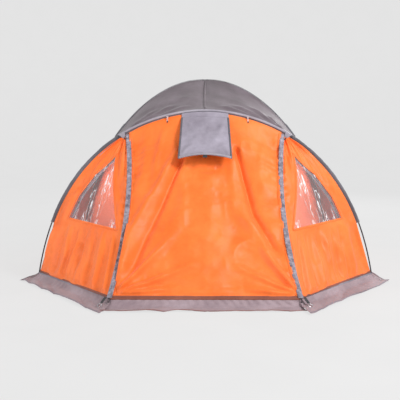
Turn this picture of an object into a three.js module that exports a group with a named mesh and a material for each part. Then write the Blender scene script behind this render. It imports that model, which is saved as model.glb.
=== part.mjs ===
// Dome tent with a porch: two crossing dome poles, a front arch pole in sleeves, an outer fly
// with a lifting door, a vented hood, two windows, a ground skirt, and an inner tent.
// Millimetres, +Z up. While it is built, the arch stands in the plane y = 0 with the porch
// towards -Y; at the end the whole tent is moved so that its box is centred on the origin.
import * as THREE from 'three';
import { mergeVertices } from 'three/addons/utils/BufferGeometryUtils.js';

// Driving dimensions
const CLOTH = 2; // thickness of a fabric panel
const SEAM = 4; // gap between two panels at a seam
const HEM_Z = 70; // height of the fly's hem
const ROOF_Z = 1190; // height of the seam between the roof and the walls
const ARCH_CURVE = [[0, 1412], [80, 1412], [1190, 1420], [1404, 0]]; // outer edge, half of it
const LEG_CURVE = [[0, 1724], [626, 1724], [1449, 1025], [1342, 0]]; // a dome pole's ridge, half of it
const LEG_REACH_X = 1030; // a dome pole's foot, from the apex
const LEG_REACH_Y = 860;
const APEX_Y = 890;
const ARCH_POLE_R = 5.5;
const DOME_POLE_R = 4.75;
const FERRULE_WALL = 1.1;
const FERRULE_LENGTH = 70;
const POLE_INSET = 9; // the arch pole's centreline, inside the arch's outer edge
const DOME_POLE_INSET = 26; // the dome poles' centrelines, inside the ridges
const SLEEVE_END_Z = 490; // the side sleeves end here and the arch pole shows below
const SLEEVE_DEPTH = 38;
const TOP_SLEEVE_DEPTH = 52;
const INNER_INSET = 62; // the inner tent, inside the ridges
const DOOR_HEM = { halfWidth: 666, y: -863 };
const ZIP_TOP = { halfWidth: 625, y: -6, z: 1200 };
const ZIP_SAGITTA = 58; // how far each zip bows towards the middle
const ARCH_FOOT_X = 1375; // the fly's hem corner beside the arch's foot
const FLAP_WIDTH = 37;
const FLAP_OFFSET = 8; // the storm flaps stand this far in front of the zips
const HOOD = { top: 380, bottom: 413, length: 442, angle: 9.5, z: 1345, y: -26, crown: 18 };
const STRUT = { length: 72, along: 395, tilt: -30, width: 22 };

const vec = (x, y, z) => new THREE.Vector3(x, y, z);
const flat = (x, y) => new THREE.Vector2(x, y);
const mix = (a, b, t) => a.clone().lerp(b, t);
const steps = (n) => Array.from({ length: n + 1 }, (_, i) => i / n);

// ---------------------------------------------------------------- colours and finishes
const finish = (color, roughness, metalness = 0) =>
  new THREE.MeshStandardMaterial({ color, roughness, metalness, side: THREE.DoubleSide });
const ORANGE = finish(0xf9793a, 0.75);
const ROOF_GREY = finish(0x857a88, 0.7);
const TRIM_GREY = finish(0x8f8b95, 0.8);
const SLEEVE_GREY = finish(0x6a6a72, 0.8);
const SKIRT_MAUVE = finish(0x9c8f98, 0.85);
const POLE_DARK = finish(0x2c2c30, 0.35);
const INNER_CLOTH = finish(0xc98a63, 0.9);
const FLOOR_GREY = finish(0x55555c, 0.8);
const CLEAR = finish(0xdfe4ea, 0.1);
const BLACK = finish(0x151517, 0.6);
const STEEL = finish(0xb8bcc0, 0.3, 1);

// ---------------------------------------------------------------- solids from points
// Drops the doubled points and the empty triangles from a surface.
function weld({ points, faces }) {
  const places = new Map();
  const kept = [];
  const newIndex = points.map((p) => {
    const key = p.toArray().map((c) => Math.round(c * 100)).join();
    if (!places.has(key)) places.set(key, kept.push(p) - 1);
    return places.get(key);
  });
  const used = faces.map((f) => f.map((i) => newIndex[i]));
  return { points: kept, faces: used.filter(([a, b, c]) => a !== b && b !== c && c !== a) };
}

function geometry(points, faces) {
  const solid = new THREE.BufferGeometry();
  solid.setAttribute('position', new THREE.Float32BufferAttribute(points.flatMap((p) => p.toArray()), 3));
  solid.setIndex(faces.flat());
  solid.computeVertexNormals();
  return solid;
}

// A closed sheet of cloth, half its thickness to each side of a surface.
function thicken(surface, thickness = CLOTH) {
  const { points, faces } = weld(surface);
  const normals = points.map(() => vec(0, 0, 0));
  const directed = new Set();
  for (const [a, b, c] of faces) {
    const ab = points[b].clone().sub(points[a]);
    const normal = ab.cross(points[c].clone().sub(points[a]));
    for (const i of [a, b, c]) normals[i].add(normal);
    for (const edge of [[a, b], [b, c], [c, a]]) directed.add(edge.join());
  }
  for (const normal of normals) normal.normalize();
  const skin = (offset) => points.map((p, i) => p.clone().addScaledVector(normals[i], offset));
  const n = points.length;
  const shell = faces.flatMap(([a, b, c]) => [[a, b, c], [c + n, b + n, a + n]]);
  for (const edge of directed) {
    const [a, b] = edge.split(',').map(Number);
    if (!directed.has(`${b},${a}`)) shell.push([b, a, a + n], [b, a + n, b + n]);
  }
  return geometry([...skin(thickness / 2), ...skin(-thickness / 2)], shell);
}

// A surface of nu by nv cells over f(u, v); cells for which skip is true are left open.
function grid(nu, nv, f, skip = () => false) {
  const points = steps(nv).flatMap((v) => steps(nu).map((u) => f(u, v)));
  const faces = [];
  for (let j = 0; j < nv; j += 1) {
    for (let i = 0; i < nu; i += 1) {
      if (skip((i + 0.5) / nu, (j + 0.5) / nv)) continue;
      const a = j * (nu + 1) + i;
      const d = a + nu + 1;
      faces.push([a, a + 1, d + 1], [a, d + 1, d]);
    }
  }
  return { points, faces };
}

// A surface over a flat outline with holes: each triangle is split in four, levels times over,
// and then f bends it.
function region(outline, holes, f, levels = 1) {
  const points = [outline, ...holes].flat();
  const middles = new Map();
  const middle = (a, b) => {
    const key = a < b ? `${a},${b}` : `${b},${a}`;
    if (!middles.has(key)) middles.set(key, points.push(points[a].clone().lerp(points[b], 0.5)) - 1);
    return middles.get(key);
  };
  let faces = THREE.ShapeUtils.triangulateShape(outline, holes).map(([a, b, c]) => {
    const size = points[b].clone().sub(points[a]).cross(points[c].clone().sub(points[a]));
    return size > 0 ? [a, b, c] : [a, c, b];
  });
  for (let level = 0; level < levels; level += 1) {
    faces = faces.flatMap(([p, q, r]) => {
      const [pq, qr, rp] = [middle(p, q), middle(q, r), middle(r, p)];
      return [[p, pq, rp], [pq, q, qr], [rp, qr, r], [pq, qr, rp]];
    });
  }
  return { points: points.map((p) => f(p.x, p.y)), faces };
}

// A section swept along a path in a plane. A section point is [outwards, across]: across is the
// plane's normal, and outwards is across x the path's direction. sectionAt(i) may vary.
function sweep(path, across, sectionAt, hole = null) {
  const rings = path.map((origin, i) => {
    const next = path[Math.min(i + 1, path.length - 1)];
    const direction = next.clone().sub(path[Math.max(i - 1, 0)]).normalize();
    const outwards = across.clone().cross(direction).normalize();
    const place = ([n, b]) => origin.clone().addScaledVector(outwards, n).addScaledVector(across, b);
    return { outer: sectionAt(i).map(place), inner: (hole ?? []).map(place) };
  });
  const points = rings.flatMap((ring) => [...ring.outer, ...ring.inner]);
  const sides = rings[0].outer.length;
  const holeSides = rings[0].inner.length;
  const ringSize = sides + holeSides;
  const faces = [];
  for (let i = 0; i + 1 < rings.length; i += 1) {
    const wall = (first, count, flip) => {
      for (let k = 0; k < count; k += 1) {
        const a = i * ringSize + first + k;
        const b = i * ringSize + first + ((k + 1) % count);
        const quad = [[a, b, b + ringSize], [a, b + ringSize, a + ringSize]];
        faces.push(...(flip ? quad.map(([p, q, r]) => [p, r, q]) : quad));
      }
    };
    wall(0, sides, false);
    wall(sides, holeSides, true);
  }
  const outline = sectionAt(0).map(([n, b]) => flat(n, b));
  const holes = hole ? [hole.map(([n, b]) => flat(n, b))] : [];
  const last = (rings.length - 1) * ringSize;
  for (const [a, b, c] of THREE.ShapeUtils.triangulateShape(outline, holes)) {
    faces.push([a, c, b], [a + last, b + last, c + last]);
  }
  return geometry(points, faces);
}

const circle = (radius, sides = 8) => steps(sides).slice(1).map((t) => {
  const angle = 2 * Math.PI * t;
  return [radius * Math.cos(angle), radius * Math.sin(angle)];
});
const rectangle = (n0, n1, b0, b1) => [[n0, b0], [n1, b0], [n1, b1], [n0, b1]];

// A flat plate of the given outline, extruded along zAxis from origin.
function plate(outline, depth, origin, xAxis, zAxis) {
  const solid = new THREE.ExtrudeGeometry(new THREE.Shape(outline), { depth, bevelEnabled: false });
  const yAxis = zAxis.clone().cross(xAxis);
  solid.applyMatrix4(new THREE.Matrix4().makeBasis(xAxis, yAxis, zAxis).setPosition(origin));
  solid.deleteAttribute('uv');
  solid.deleteAttribute('normal');
  return mergeVertices(solid);
}

// ---------------------------------------------------------------- the tent's guiding curves
const bezier = (points) => new THREE.CubicBezierCurve(...points.map(([x, z]) => flat(x, z)));
const ARCH = bezier(ARCH_CURVE);
const LEG = bezier(LEG_CURVE);

// The point a share t down a half curve, moved towards the inside: x is out, y is the height.
function profile(curve, t, inset = 0) {
  const point = curve.getPointAt(t);
  const direction = curve.getTangentAt(t);
  return flat(point.x + direction.y * inset, point.y - direction.x * inset);
}

// The share of a half curve's length at which it has come down to height z.
function shareAtHeight(curve, z, inset = 0) {
  let [high, low] = [0, 1];
  for (let i = 0; i < 40; i += 1) {
    const t = (high + low) / 2;
    if (profile(curve, t, inset).y > z) high = t;
    else low = t;
  }
  return high;
}

const archPoint = (side, t, inset, y = 0) => {
  const p = profile(ARCH, t, inset);
  return vec(side * p.x, y, p.y);
};
const LEG_SPAN = Math.hypot(LEG_REACH_X, LEG_REACH_Y);
const legPoint = (side, end, t, inset = 0) => {
  const p = profile(LEG, t, inset);
  return vec((side * p.x * LEG_REACH_X) / LEG_SPAN, APEX_Y + (end * p.x * LEG_REACH_Y) / LEG_SPAN, p.y);
};
const LEG_AT_ROOF = shareAtHeight(LEG, ROOF_Z);
const ARCH_AT_ROOF = shareAtHeight(ARCH, ROOF_Z);
const legAtHeight = (side, end, z) => legPoint(side, end, shareAtHeight(LEG, z));

// The fly's edge beside the arch: along the sleeve, then straight to the hem corner.
function archEdge(side, z, y) {
  const inset = POLE_INSET + SLEEVE_DEPTH - 8 + SEAM;
  const edgeX = (height) => profile(ARCH, shareAtHeight(ARCH, height, inset), inset).x;
  if (z >= SLEEVE_END_Z) return vec(side * edgeX(z), y, z);
  const t = (z - HEM_Z) / (SLEEVE_END_Z - HEM_Z);
  return vec(side * THREE.MathUtils.lerp(ARCH_FOOT_X, edgeX(SLEEVE_END_Z), t), y, z);
}

// ---------------------------------------------------------------- the door's plane and zips
const ZIP_RISE = vec(0, ZIP_TOP.y - DOOR_HEM.y, ZIP_TOP.z - HEM_Z);
const ZIP_LENGTH = ZIP_RISE.length();
const UP_SLOPE = ZIP_RISE.clone().normalize();
const OUT_SLOPE = vec(0, -UP_SLOPE.z, UP_SLOPE.y);
const ZIP_CHORD = Math.hypot(ZIP_LENGTH, DOOR_HEM.halfWidth - ZIP_TOP.halfWidth);
const ZIP_R = (ZIP_CHORD * ZIP_CHORD) / (8 * ZIP_SAGITTA) + ZIP_SAGITTA / 2;

// The middle of a zip's arc, as [x, distance up the slope], for the right-hand zip.
function zipCentre() {
  const chord = flat(ZIP_TOP.halfWidth - DOOR_HEM.halfWidth, ZIP_LENGTH);
  const outwards = flat(chord.y, -chord.x).normalize();
  const middle = flat((ZIP_TOP.halfWidth + DOOR_HEM.halfWidth) / 2, ZIP_LENGTH / 2);
  return middle.addScaledVector(outwards, ZIP_R - ZIP_SAGITTA);
}
const ZIP_CENTRE = zipCentre();

// The zip's half width at a distance up the slope, moved outwards by offset.
const zipX = (up, offset = 0) =>
  ZIP_CENTRE.x - Math.sqrt((ZIP_R - offset) ** 2 - (up - ZIP_CENTRE.y) ** 2);
const onSlope = (x, up, out = 0) =>
  vec(x, DOOR_HEM.y, HEM_Z).addScaledVector(UP_SLOPE, up).addScaledVector(OUT_SLOPE, out);
const slopeAtHeight = (z) => (z - HEM_Z) / UP_SLOPE.z;

// A strip beside a zip, from low to high up the slope. A positive offset is away from the door.
function zipStrip(side, low, high, offsets, outs, pieces) {
  const path = steps(pieces).map((t) => {
    const up = THREE.MathUtils.lerp(low, high, t);
    return onSlope(side * zipX(up, 0), up);
  });
  const [near, far] = side > 0 ? [-offsets[1], -offsets[0]] : offsets;
  return sweep(path, OUT_SLOPE, () => rectangle(near, far, ...outs));
}

// The top edge of the door: along the top sleeve, and level beside the zips.
const DOOR_TOP_NARROWING = 1.1;
function doorTop(x) {
  const inset = POLE_INSET + TOP_SLEEVE_DEPTH - 8 + SEAM;
  let [near, far] = [0, 1];
  for (let i = 0; i < 40; i += 1) {
    const t = (near + far) / 2;
    if (profile(ARCH, t, inset).x < Math.abs(x) * DOOR_TOP_NARROWING) near = t;
    else far = t;
  }
  return Math.max(ZIP_TOP.z, profile(ARCH, near, inset).y);
}

// A point of the door: x across and v from the hem (0) to the arch (1).
const doorPoint = (x, v) =>
  vec(x, THREE.MathUtils.lerp(DOOR_HEM.y, ZIP_TOP.y, v), THREE.MathUtils.lerp(HEM_Z, doorTop(x), v));

// ---------------------------------------------------------------- the assembly
const tent = new THREE.Group();
function add(name, solid, material) {
  const mesh = new THREE.Mesh(solid, material);
  mesh.name = name;
  tent.add(mesh);
}
const SIDES = [['left', -1], ['right', 1]];

// One pole along a path, cut into equal sections, each with a ferrule at its far end.
function addPole(name, path, across, radius, count) {
  const curve = new THREE.CatmullRomCurve3(path);
  curve.arcLengthDivisions = 600;
  const length = curve.getLength();
  for (let section = 0; section < count; section += 1) {
    const start = (length * section) / count + 0.25;
    const end = (length * (section + 1)) / count - 0.25;
    const collar = section + 1 < count ? end - FERRULE_LENGTH : end;
    const marks = steps(9).map((t) => THREE.MathUtils.lerp(start, collar, t));
    if (collar < end) marks.push(collar + 0.6, end);
    const stations = marks.map((mark) => curve.getPointAt(mark / length));
    const isCollar = (i) => marks[i] > collar + 0.5;
    const ring = (i) => circle(isCollar(i) ? radius + FERRULE_WALL : radius);
    add(`${name}_${section + 1}`, sweep(stations, across, ring), POLE_DARK);
  }
}

function addPoles() {
  const down = steps(40).slice(1);
  const footShare = shareAtHeight(ARCH, 4, POLE_INSET);
  const arch = [
    ...down.map((t) => archPoint(-1, t * footShare, POLE_INSET)).reverse(),
    archPoint(1, 0, POLE_INSET),
    ...down.map((t) => archPoint(1, t * footShare, POLE_INSET)),
  ];
  addPole('arch_pole', arch, vec(0, -1, 0), ARCH_POLE_R, 4);
  for (const [name, slant, lift] of [['dome_pole_a', 1, 0], ['dome_pole_b', -1, -12]]) {
    const lowShare = shareAtHeight(LEG, 5, DOME_POLE_INSET);
    const lifted = (side, end, t) => {
      const point = legPoint(side, end, t * lowShare, DOME_POLE_INSET);
      point.z += lift * Math.max(0, 1 - t * 4);
      return point;
    };
    const path = [
      ...down.map((t) => lifted(-1, -slant, t)).reverse(),
      lifted(1, slant, 0),
      ...down.map((t) => lifted(1, slant, t)),
    ];
    const across = vec(slant * LEG_REACH_Y, -LEG_REACH_X, 0).normalize();
    addPole(name, path, across, DOME_POLE_R, 4);
  }
}

// A sleeve sewn round the arch pole, with a flat tail towards the panels.
function sleeve(from, to, depth, pieces) {
  const tail = 8 - depth;
  const half = [[7.5, 7], [0, 9.4], [-9, 6], [tail, 1.2]];
  const outer = [[10, 0], ...half, ...half.map(([n, b]) => [n, -b]).reverse()];
  const path = steps(pieces).map((s) => {
    const t = THREE.MathUtils.lerp(from, to, s);
    return archPoint(Math.sign(t) || 1, Math.abs(t), POLE_INSET);
  });
  return sweep(path, vec(0, -1, 0), () => outer, circle(7.4));
}

function addSleeves() {
  const low = shareAtHeight(ARCH, SLEEVE_END_Z, POLE_INSET);
  const gapLow = shareAtHeight(ARCH, 1212);
  const gapHigh = shareAtHeight(ARCH, 1236);
  add('arch_sleeve_left', sleeve(-low, -gapLow, SLEEVE_DEPTH, 12), SLEEVE_GREY);
  add('arch_sleeve_top', sleeve(-gapHigh, gapHigh, TOP_SLEEVE_DEPTH, 16), SLEEVE_GREY);
  add('arch_sleeve_right', sleeve(gapLow, low, SLEEVE_DEPTH, 12), SLEEVE_GREY);
}

// The grey roof: four gores between the arch and the two dome poles' ridges.
function addRoof() {
  const edge = SEAM / 2;
  const shift = (point, y) => point.add(vec(0, y, 0));
  const sag = (point, u, v, depth) => point.add(vec(0, 0, -depth * 4 * u * (1 - u) * v));
  add('roof_front', thicken(grid(14, 5, (u, v) => {
    const across = 2 * u - 1;
    const side = Math.sign(across) || 1;
    const low = archPoint(side, Math.abs(across) * ARCH_AT_ROOF, 0, 14);
    const high = shift(legPoint(side, -1, Math.abs(across) * LEG_AT_ROOF), -edge);
    return mix(low, high, v);
  })), ROOF_GREY);
  const first = 0.03;
  const share = (v) => THREE.MathUtils.lerp(first, LEG_AT_ROOF, v);
  for (const [name, side] of SIDES) {
    add(`roof_${name}`, thicken(grid(6, 7, (u, v) => {
      const front = shift(legPoint(side, -1, share(v)), edge);
      const rear = shift(legPoint(side, 1, share(v)), -edge);
      return sag(mix(front, rear, u), u, v, 25);
    })), ROOF_GREY);
  }
  add('roof_rear', thicken(grid(8, 7, (u, v) => {
    const t = LEG_AT_ROOF * v;
    return sag(shift(mix(legPoint(-1, 1, t), legPoint(1, 1, t), u), edge), u, v, 25);
  })), ROOF_GREY);
}

// Three points of a side wall at height z: beside the arch, over the front dome pole or level
// with it where the pole stays inside the straight wall, and at the rear dome pole's ridge.
function sideStations(side, z) {
  const atArch = archEdge(side, z, 8);
  const atFront = legAtHeight(side, -1, z);
  const atRear = legAtHeight(side, 1, z).add(vec(0, -SEAM / 2, 0));
  const straight = mix(atArch, atRear, (atFront.y - atArch.y) / (atRear.y - atArch.y));
  atFront.x = side * Math.max(Math.abs(atFront.x), Math.abs(straight.x));
  return [atArch, atFront, atRear];
}

// The orange walls behind the arch, from the roof's seam down to the hem.
function addWalls() {
  const height = (v) => THREE.MathUtils.lerp(HEM_Z, ROOF_Z - SEAM, v);
  const dip = (u, v, depth) => depth * 4 * u * (1 - u) * 4 * v * (1 - v);
  for (const [name, side] of SIDES) {
    add(`side_panel_${name}`, thicken(grid(8, 8, (u, v) => {
      const [atArch, atFront, atRear] = sideStations(side, height(v));
      if (u <= 1 / 8) return mix(atArch, atFront, u * 8);
      const along = (u - 1 / 8) * (8 / 7);
      return mix(atFront, atRear, along).add(vec(-side * dip(along, v, 30), 0, 0));
    })), ORANGE);
  }
  add('rear_panel', thicken(grid(8, 8, (u, v) => {
    const [left, right] = [-1, 1].map((side) => legAtHeight(side, 1, height(v)));
    return mix(left, right, u).add(vec(0, SEAM / 2 - dip(u, v, 16), 0));
  })), ORANGE);
}

// The porch walls beside the door, each with a window and its rolled curtain. A window's corners
// are [share of the way from the zip to the arch, height].
const WINDOW = [[0.1, 496], [0.36, 508], [0.78, 533], [0.765, 717], [0.675, 880], [0.4, 1042]];
function porchPoint(side, a, z) {
  const up = slopeAtHeight(z);
  const atZip = onSlope(side * zipX(up, 11), up);
  return mix(atZip, archEdge(side, z, -6), a);
}
function addPorchWalls() {
  const heights = steps(11).map((t) => THREE.MathUtils.lerp(HEM_Z, ROOF_Z, t));
  const outline = [...heights.map((z) => flat(1, z)), ...heights.reverse().map((z) => flat(0, z))];
  const hole = WINDOW.map(([a, z]) => flat(a, z));
  const centre = hole.reduce((sum, corner) => sum.add(corner), flat(0, 0)).divideScalar(hole.length);
  const shrunk = hole.map((corner) => corner.clone().lerp(centre, 0.012));
  for (const [name, side] of SIDES) {
    const bend = (a, z) => porchPoint(side, a, z);
    add(`porch_panel_${name}`, thicken(region(outline, [hole], bend, 2)), ORANGE);
    add(`window_${name}`, thicken(region(shrunk, [], bend, 2), 0.8), CLEAR);
    const inwards = vec(-side * 24, 34, 0);
    const slanted = new THREE.CatmullRomCurve3(WINDOW.slice(2).map(([a, z]) => bend(a, z).add(inwards)));
    const path = slanted.getSpacedPoints(8);
    const across = path[8].clone().sub(path[0]).cross(vec(0, 0, 1)).normalize();
    add(`curtain_roll_${name}`, sweep(path, across, () => circle(13)), TRIM_GREY);
  }
}

// The door, its vent mesh, its storm flaps and what is sewn to it.
const VENT = { halfShare: 2 / 7, low: 0.75, high: 11 / 12 };
function addDoor() {
  const edge = (v) => zipX(ZIP_LENGTH * v, 0) - 3;
  const inVent = (u, v) => Math.abs(2 * u - 1) < VENT.halfShare && v > VENT.low && v < VENT.high;
  const panel = (u, v) => doorPoint((2 * u - 1) * edge(v), v);
  add('door_panel', thicken(grid(14, 12, panel, inVent)), ORANGE);
  const mesh = (u, v) => {
    const height = THREE.MathUtils.lerp(VENT.low + 0.001, VENT.high - 0.001, v);
    return doorPoint((2 * u - 1) * (VENT.halfShare * edge(height) - 2), height);
  };
  add('vent_mesh', thicken(grid(4, 3, mesh), 1), BLACK);
  for (const [name, side] of SIDES) {
    const half = FLAP_WIDTH / 2;
    const outs = [FLAP_OFFSET - 1, FLAP_OFFSET + 1];
    const strip = zipStrip(side, -6, ZIP_LENGTH - 12, [3.5 - half, 3.5 + half], outs, 12);
    add(`zip_flap_${name}`, strip, TRIM_GREY);
  }
}

function addZips() {
  for (const [name, side] of SIDES) {
    add(`zip_${name}`, zipStrip(side, 6, ZIP_LENGTH - 14, [-1.5, 8.5], [-0.9, 0.9], 12), BLACK);
    const outline = [[-5, 12], [-6, 0], [-2.5, -6], [-2.5, -30], [2.5, -30], [2.5, -6], [6, 0], [5, 12]];
    const up = 75;
    const along = onSlope(side * zipX(up + 1), up + 1).sub(onSlope(side * zipX(up), up)).normalize();
    const xAxis = along.clone().cross(OUT_SLOPE);
    const origin = onSlope(side * (zipX(up) + 2.5), up, 1.5);
    const points = outline.map(([x, y]) => flat(x, y));
    add(`zip_slider_${name}`, plate(points, 4.2, origin, xAxis, OUT_SLOPE), STEEL);
  }
}

// The hood over the vent, held open by a strut.
function addHood() {
  const slope = vec(0, DOOR_HEM.y - ZIP_TOP.y, HEM_Z - doorTop(0)).normalize();
  const turned = (angle) => slope.clone().applyAxisAngle(vec(-1, 0, 0), THREE.MathUtils.degToRad(angle));
  const down = turned(HOOD.angle);
  const out = turned(HOOD.angle + 90);
  const pivot = vec(0, HOOD.y, HOOD.z);
  add('vent_hood', thicken(grid(8, 6, (u, v) => {
    const width = THREE.MathUtils.lerp(HOOD.top, HOOD.bottom, v);
    const crown = HOOD.crown * 4 * u * (1 - u) * v;
    const lift = 26 * 4 * u * (1 - u) * v * v;
    const along = 6 + (HOOD.length - 6) * v - lift;
    const across = vec((u - 0.5) * width, 0, 0);
    return pivot.clone().add(across).addScaledVector(down, along).addScaledVector(out, crown);
  })), TRIM_GREY);
  const root = pivot.clone().addScaledVector(down, STRUT.along).addScaledVector(out, HOOD.crown - 5);
  const towards = turned(HOOD.angle - 90 + STRUT.tilt);
  const across = vec(1, 0, 0);
  const path = steps(1).map((t) => root.clone().addScaledVector(towards, STRUT.length * t));
  const half = STRUT.width / 2;
  add('vent_strut', sweep(path, across, () => rectangle(-1.2, 1.2, -half, half)), BLACK);
}

// Toggles on loops that hang from the top sleeve and tie up the rolled door. Each starts just
// above the line the door turns about, and turns with it, so it stays in front of the door.
const TIES = [['left', -306, 1354], ['right', 348, 1350]];
const TIE_Y = -15;
function addTies() {
  const down = vec(0, -14, -62).normalize();
  const across = vec(1, 0, 0);
  const marks = [0, 1, 34, 36, 56, 58];
  const size = (i) => (i === 3 || i === 4 ? 5 : 2.5);
  for (const [name, x, z] of TIES) {
    const path = marks.map((mark) => vec(x, TIE_Y, z).addScaledVector(down, mark));
    add(`door_tie_${name}`, sweep(path, across, (i) => circle(size(i), 6)), BLACK);
  }
}

// A ground skirt along a hem line from a to b, spreading outwards by outA and outB.
function skirt(a, b, outA, outB, pieces, shape) {
  return thicken(grid(pieces, shape.length - 1, (u, v) => {
    const [share, z] = shape[Math.round(v * (shape.length - 1))];
    const out = mix(outA, outB, u).multiplyScalar(share);
    return mix(a, b, u).add(out).setZ(z);
  }));
}
function addSkirts() {
  const shape = [[0.01, HEM_Z - 4], [0.25, 24], [0.55, 6], [1, 1.4]];
  const rear = legAtHeight(1, 1, HEM_Z);
  for (const [name, side] of SIDES) {
    const at = (x, y) => vec(side * x, y, 0);
    const frontOut = [at(50, -130), at(140, -78)];
    const sideOut = [at(155, 8), at(124, 132)];
    add(`skirt_front_${name}`, skirt(at(678, -866), at(1376, -32), ...frontOut, 8, shape), SKIRT_MAUVE);
    const rearCorner = at(rear.x + 3, rear.y - 6);
    add(`skirt_side_${name}`, skirt(at(1377, 30), rearCorner, ...sideOut, 8, shape), SKIRT_MAUVE);
  }
  const corner = (side) => vec(side * (rear.x - 5), rear.y + 3, 0);
  const rearOut = [vec(-118, 138, 0), vec(118, 138, 0)];
  add('skirt_rear', skirt(corner(-1), corner(1), ...rearOut, 8, shape), SKIRT_MAUVE);
  const frontShape = [[0.05, HEM_Z - 4], [0.2, 28], [0.5, 7], [1, 1.4]];
  const hem = (x) => vec(x, DOOR_HEM.y - 6, 0);
  const forward = vec(0, -64, 0);
  add('door_skirt', skirt(hem(-652), hem(652), forward, forward, 10, frontShape), SKIRT_MAUVE);
}

// Webbing, rings and hooks at the porch's front corners and the arch's feet.
function addCornerFittings() {
  const hook = [
    [-9, 0], [9, 0], [9, 22], [4, 30], [-9, 30], [-9, 24], [1, 24], [3, 20], [3, 6], [-9, 6],
  ].map(([x, z]) => flat(x, z));
  for (const [name, side] of SIDES) {
    const hookOrigin = vec(side * 668, -886, 42);
    add(`door_hook_${name}`, plate(hook, 4, hookOrigin, vec(1, 0, 0), vec(0, -1, 0)), BLACK);
    const strap = [[-12, 0], [12, 0], [12, 54], [-12, 54]].map(([x, y]) => flat(x, y));
    const run = vec(side * 34, -40, -44).normalize();
    const across = run.clone().cross(vec(0, 0, 1)).normalize();
    const top = vec(side * 694, -872, 76);
    add(`corner_strap_${name}`, plate(strap, 2, top, across, across.clone().cross(run)), BLACK);
    const ringCentre = top.clone().addScaledVector(run, 76).add(vec(0, 0, 3));
    const ring = new THREE.TorusGeometry(17, 2.2, 6, 16);
    const facing = across.clone().cross(run).normalize();
    const tilt = new THREE.Quaternion().setFromUnitVectors(vec(0, 0, 1), facing);
    ring.applyQuaternion(tilt).translate(...ringCentre.toArray());
    ring.deleteAttribute('uv');
    ring.deleteAttribute('normal');
    add(`peg_ring_${name}`, mergeVertices(ring), STEEL);
    const foot = [[-22, -26], [22, -26], [22, 26], [-22, 26]].map(([x, y]) => flat(x, y));
    const archFoot = archPoint(side, shareAtHeight(ARCH, 4, POLE_INSET), POLE_INSET);
    add(`arch_foot_${name}`, plate(foot, 3, vec(archFoot.x, 0, 0), vec(1, 0, 0), vec(0, 0, 1)), BLACK);
  }
}

// The inner tent: four walls under the poles, a zipped door and a groundsheet with corner tabs.
const INNER_DOOR = { halfWidth: 420, low: 165, high: 1000, corner: 220 };
function roundedDoor(shrink) {
  const half = INNER_DOOR.halfWidth - shrink;
  const length = (z) => shareAtHeight(LEG, z, INNER_INSET) * LEG.getLength();
  const [low, high] = [length(INNER_DOOR.low) - shrink, length(INNER_DOOR.high) + shrink];
  const radius = INNER_DOOR.corner;
  const arc = steps(5).map((t) => flat(
    half - radius + radius * Math.cos((t * Math.PI) / 2),
    high + radius - radius * Math.sin((t * Math.PI) / 2),
  ));
  const right = [flat(half, low), flat(half, (low + high) / 2)];
  const left = steps(5).map((t) => flat(-half, THREE.MathUtils.lerp(high, low, t)));
  return [...right, ...arc, ...left];
}
function addInnerTent() {
  const total = LEG.getLength();
  const last = shareAtHeight(LEG, 8, INNER_INSET);
  const wallPoint = (side, end, t) => legPoint(side, end, t, INNER_INSET);
  const shares = steps(12).map((t) => THREE.MathUtils.lerp(0.05, last, t));
  const edge = shares.map((t) => flat(wallPoint(1, -1, t).x, t * total));
  const outline = [...edge, ...edge.map((p) => flat(-p.x, p.y)).reverse()];
  const bend = (x, length) => wallPoint(1, -1, length / total).setX(x).add(vec(0, -3, 0));
  add('inner_front', thicken(region(outline, [roundedDoor(0)], bend)), INNER_CLOTH);
  add('inner_door', thicken(region(roundedDoor(3), [], bend)), INNER_CLOTH);
  const share = (v) => THREE.MathUtils.lerp(0.05, last, v);
  for (const [name, side] of SIDES) {
    add(`inner_${name}`, thicken(grid(5, 9, (u, v) =>
      mix(wallPoint(side, -1, share(v)), wallPoint(side, 1, share(v)), u))), INNER_CLOTH);
  }
  add('inner_rear', thicken(grid(5, 9, (u, v) =>
    mix(wallPoint(-1, 1, share(v)), wallPoint(1, 1, share(v)), u).add(vec(0, 3, 0)))), INNER_CLOTH);
  const foot = wallPoint(1, 1, last);
  const tip = legPoint(1, 1, 1, DOME_POLE_INSET - 12);
  const reach = foot.y - APEX_Y + 4;
  const tabReach = tip.y - APEX_Y;
  const corner = [
    [foot.x - 26, reach], [foot.x - 8, reach], [tip.x - 14, tabReach + 6],
    [tip.x + 6, tabReach - 14], [foot.x + 4, reach - 20], [foot.x + 4, reach - 60],
  ];
  const mirror = (sx, sy) => corner.map(([x, y]) => flat(sx * x, sy * y));
  const sheet = [
    ...mirror(1, 1), ...mirror(1, -1).reverse(), ...mirror(-1, -1), ...mirror(-1, 1).reverse(),
  ].reverse();
  const middle = vec(0, APEX_Y, 0);
  add('groundsheet', plate(sheet, 3, middle, vec(1, 0, 0), vec(0, 0, 1)), FLOOR_GREY);
}

addPoles();
addSleeves();
addRoof();
addWalls();
addPorchWalls();
addDoor();
addZips();
addHood();
addTies();
addSkirts();
addCornerFittings();
addInnerTent();

const box = new THREE.Box3().setFromObject(tent);
tent.position.y = -(box.min.y + box.max.y) / 2;
export default tent;
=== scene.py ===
"""Dome tent with a porch: the looks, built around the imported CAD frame.
Metres, +Z up, porch towards -Y. The guiding curves repeat those of the CAD part."""
import math

import bpy
import numpy as np
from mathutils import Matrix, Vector, geometry


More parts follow.
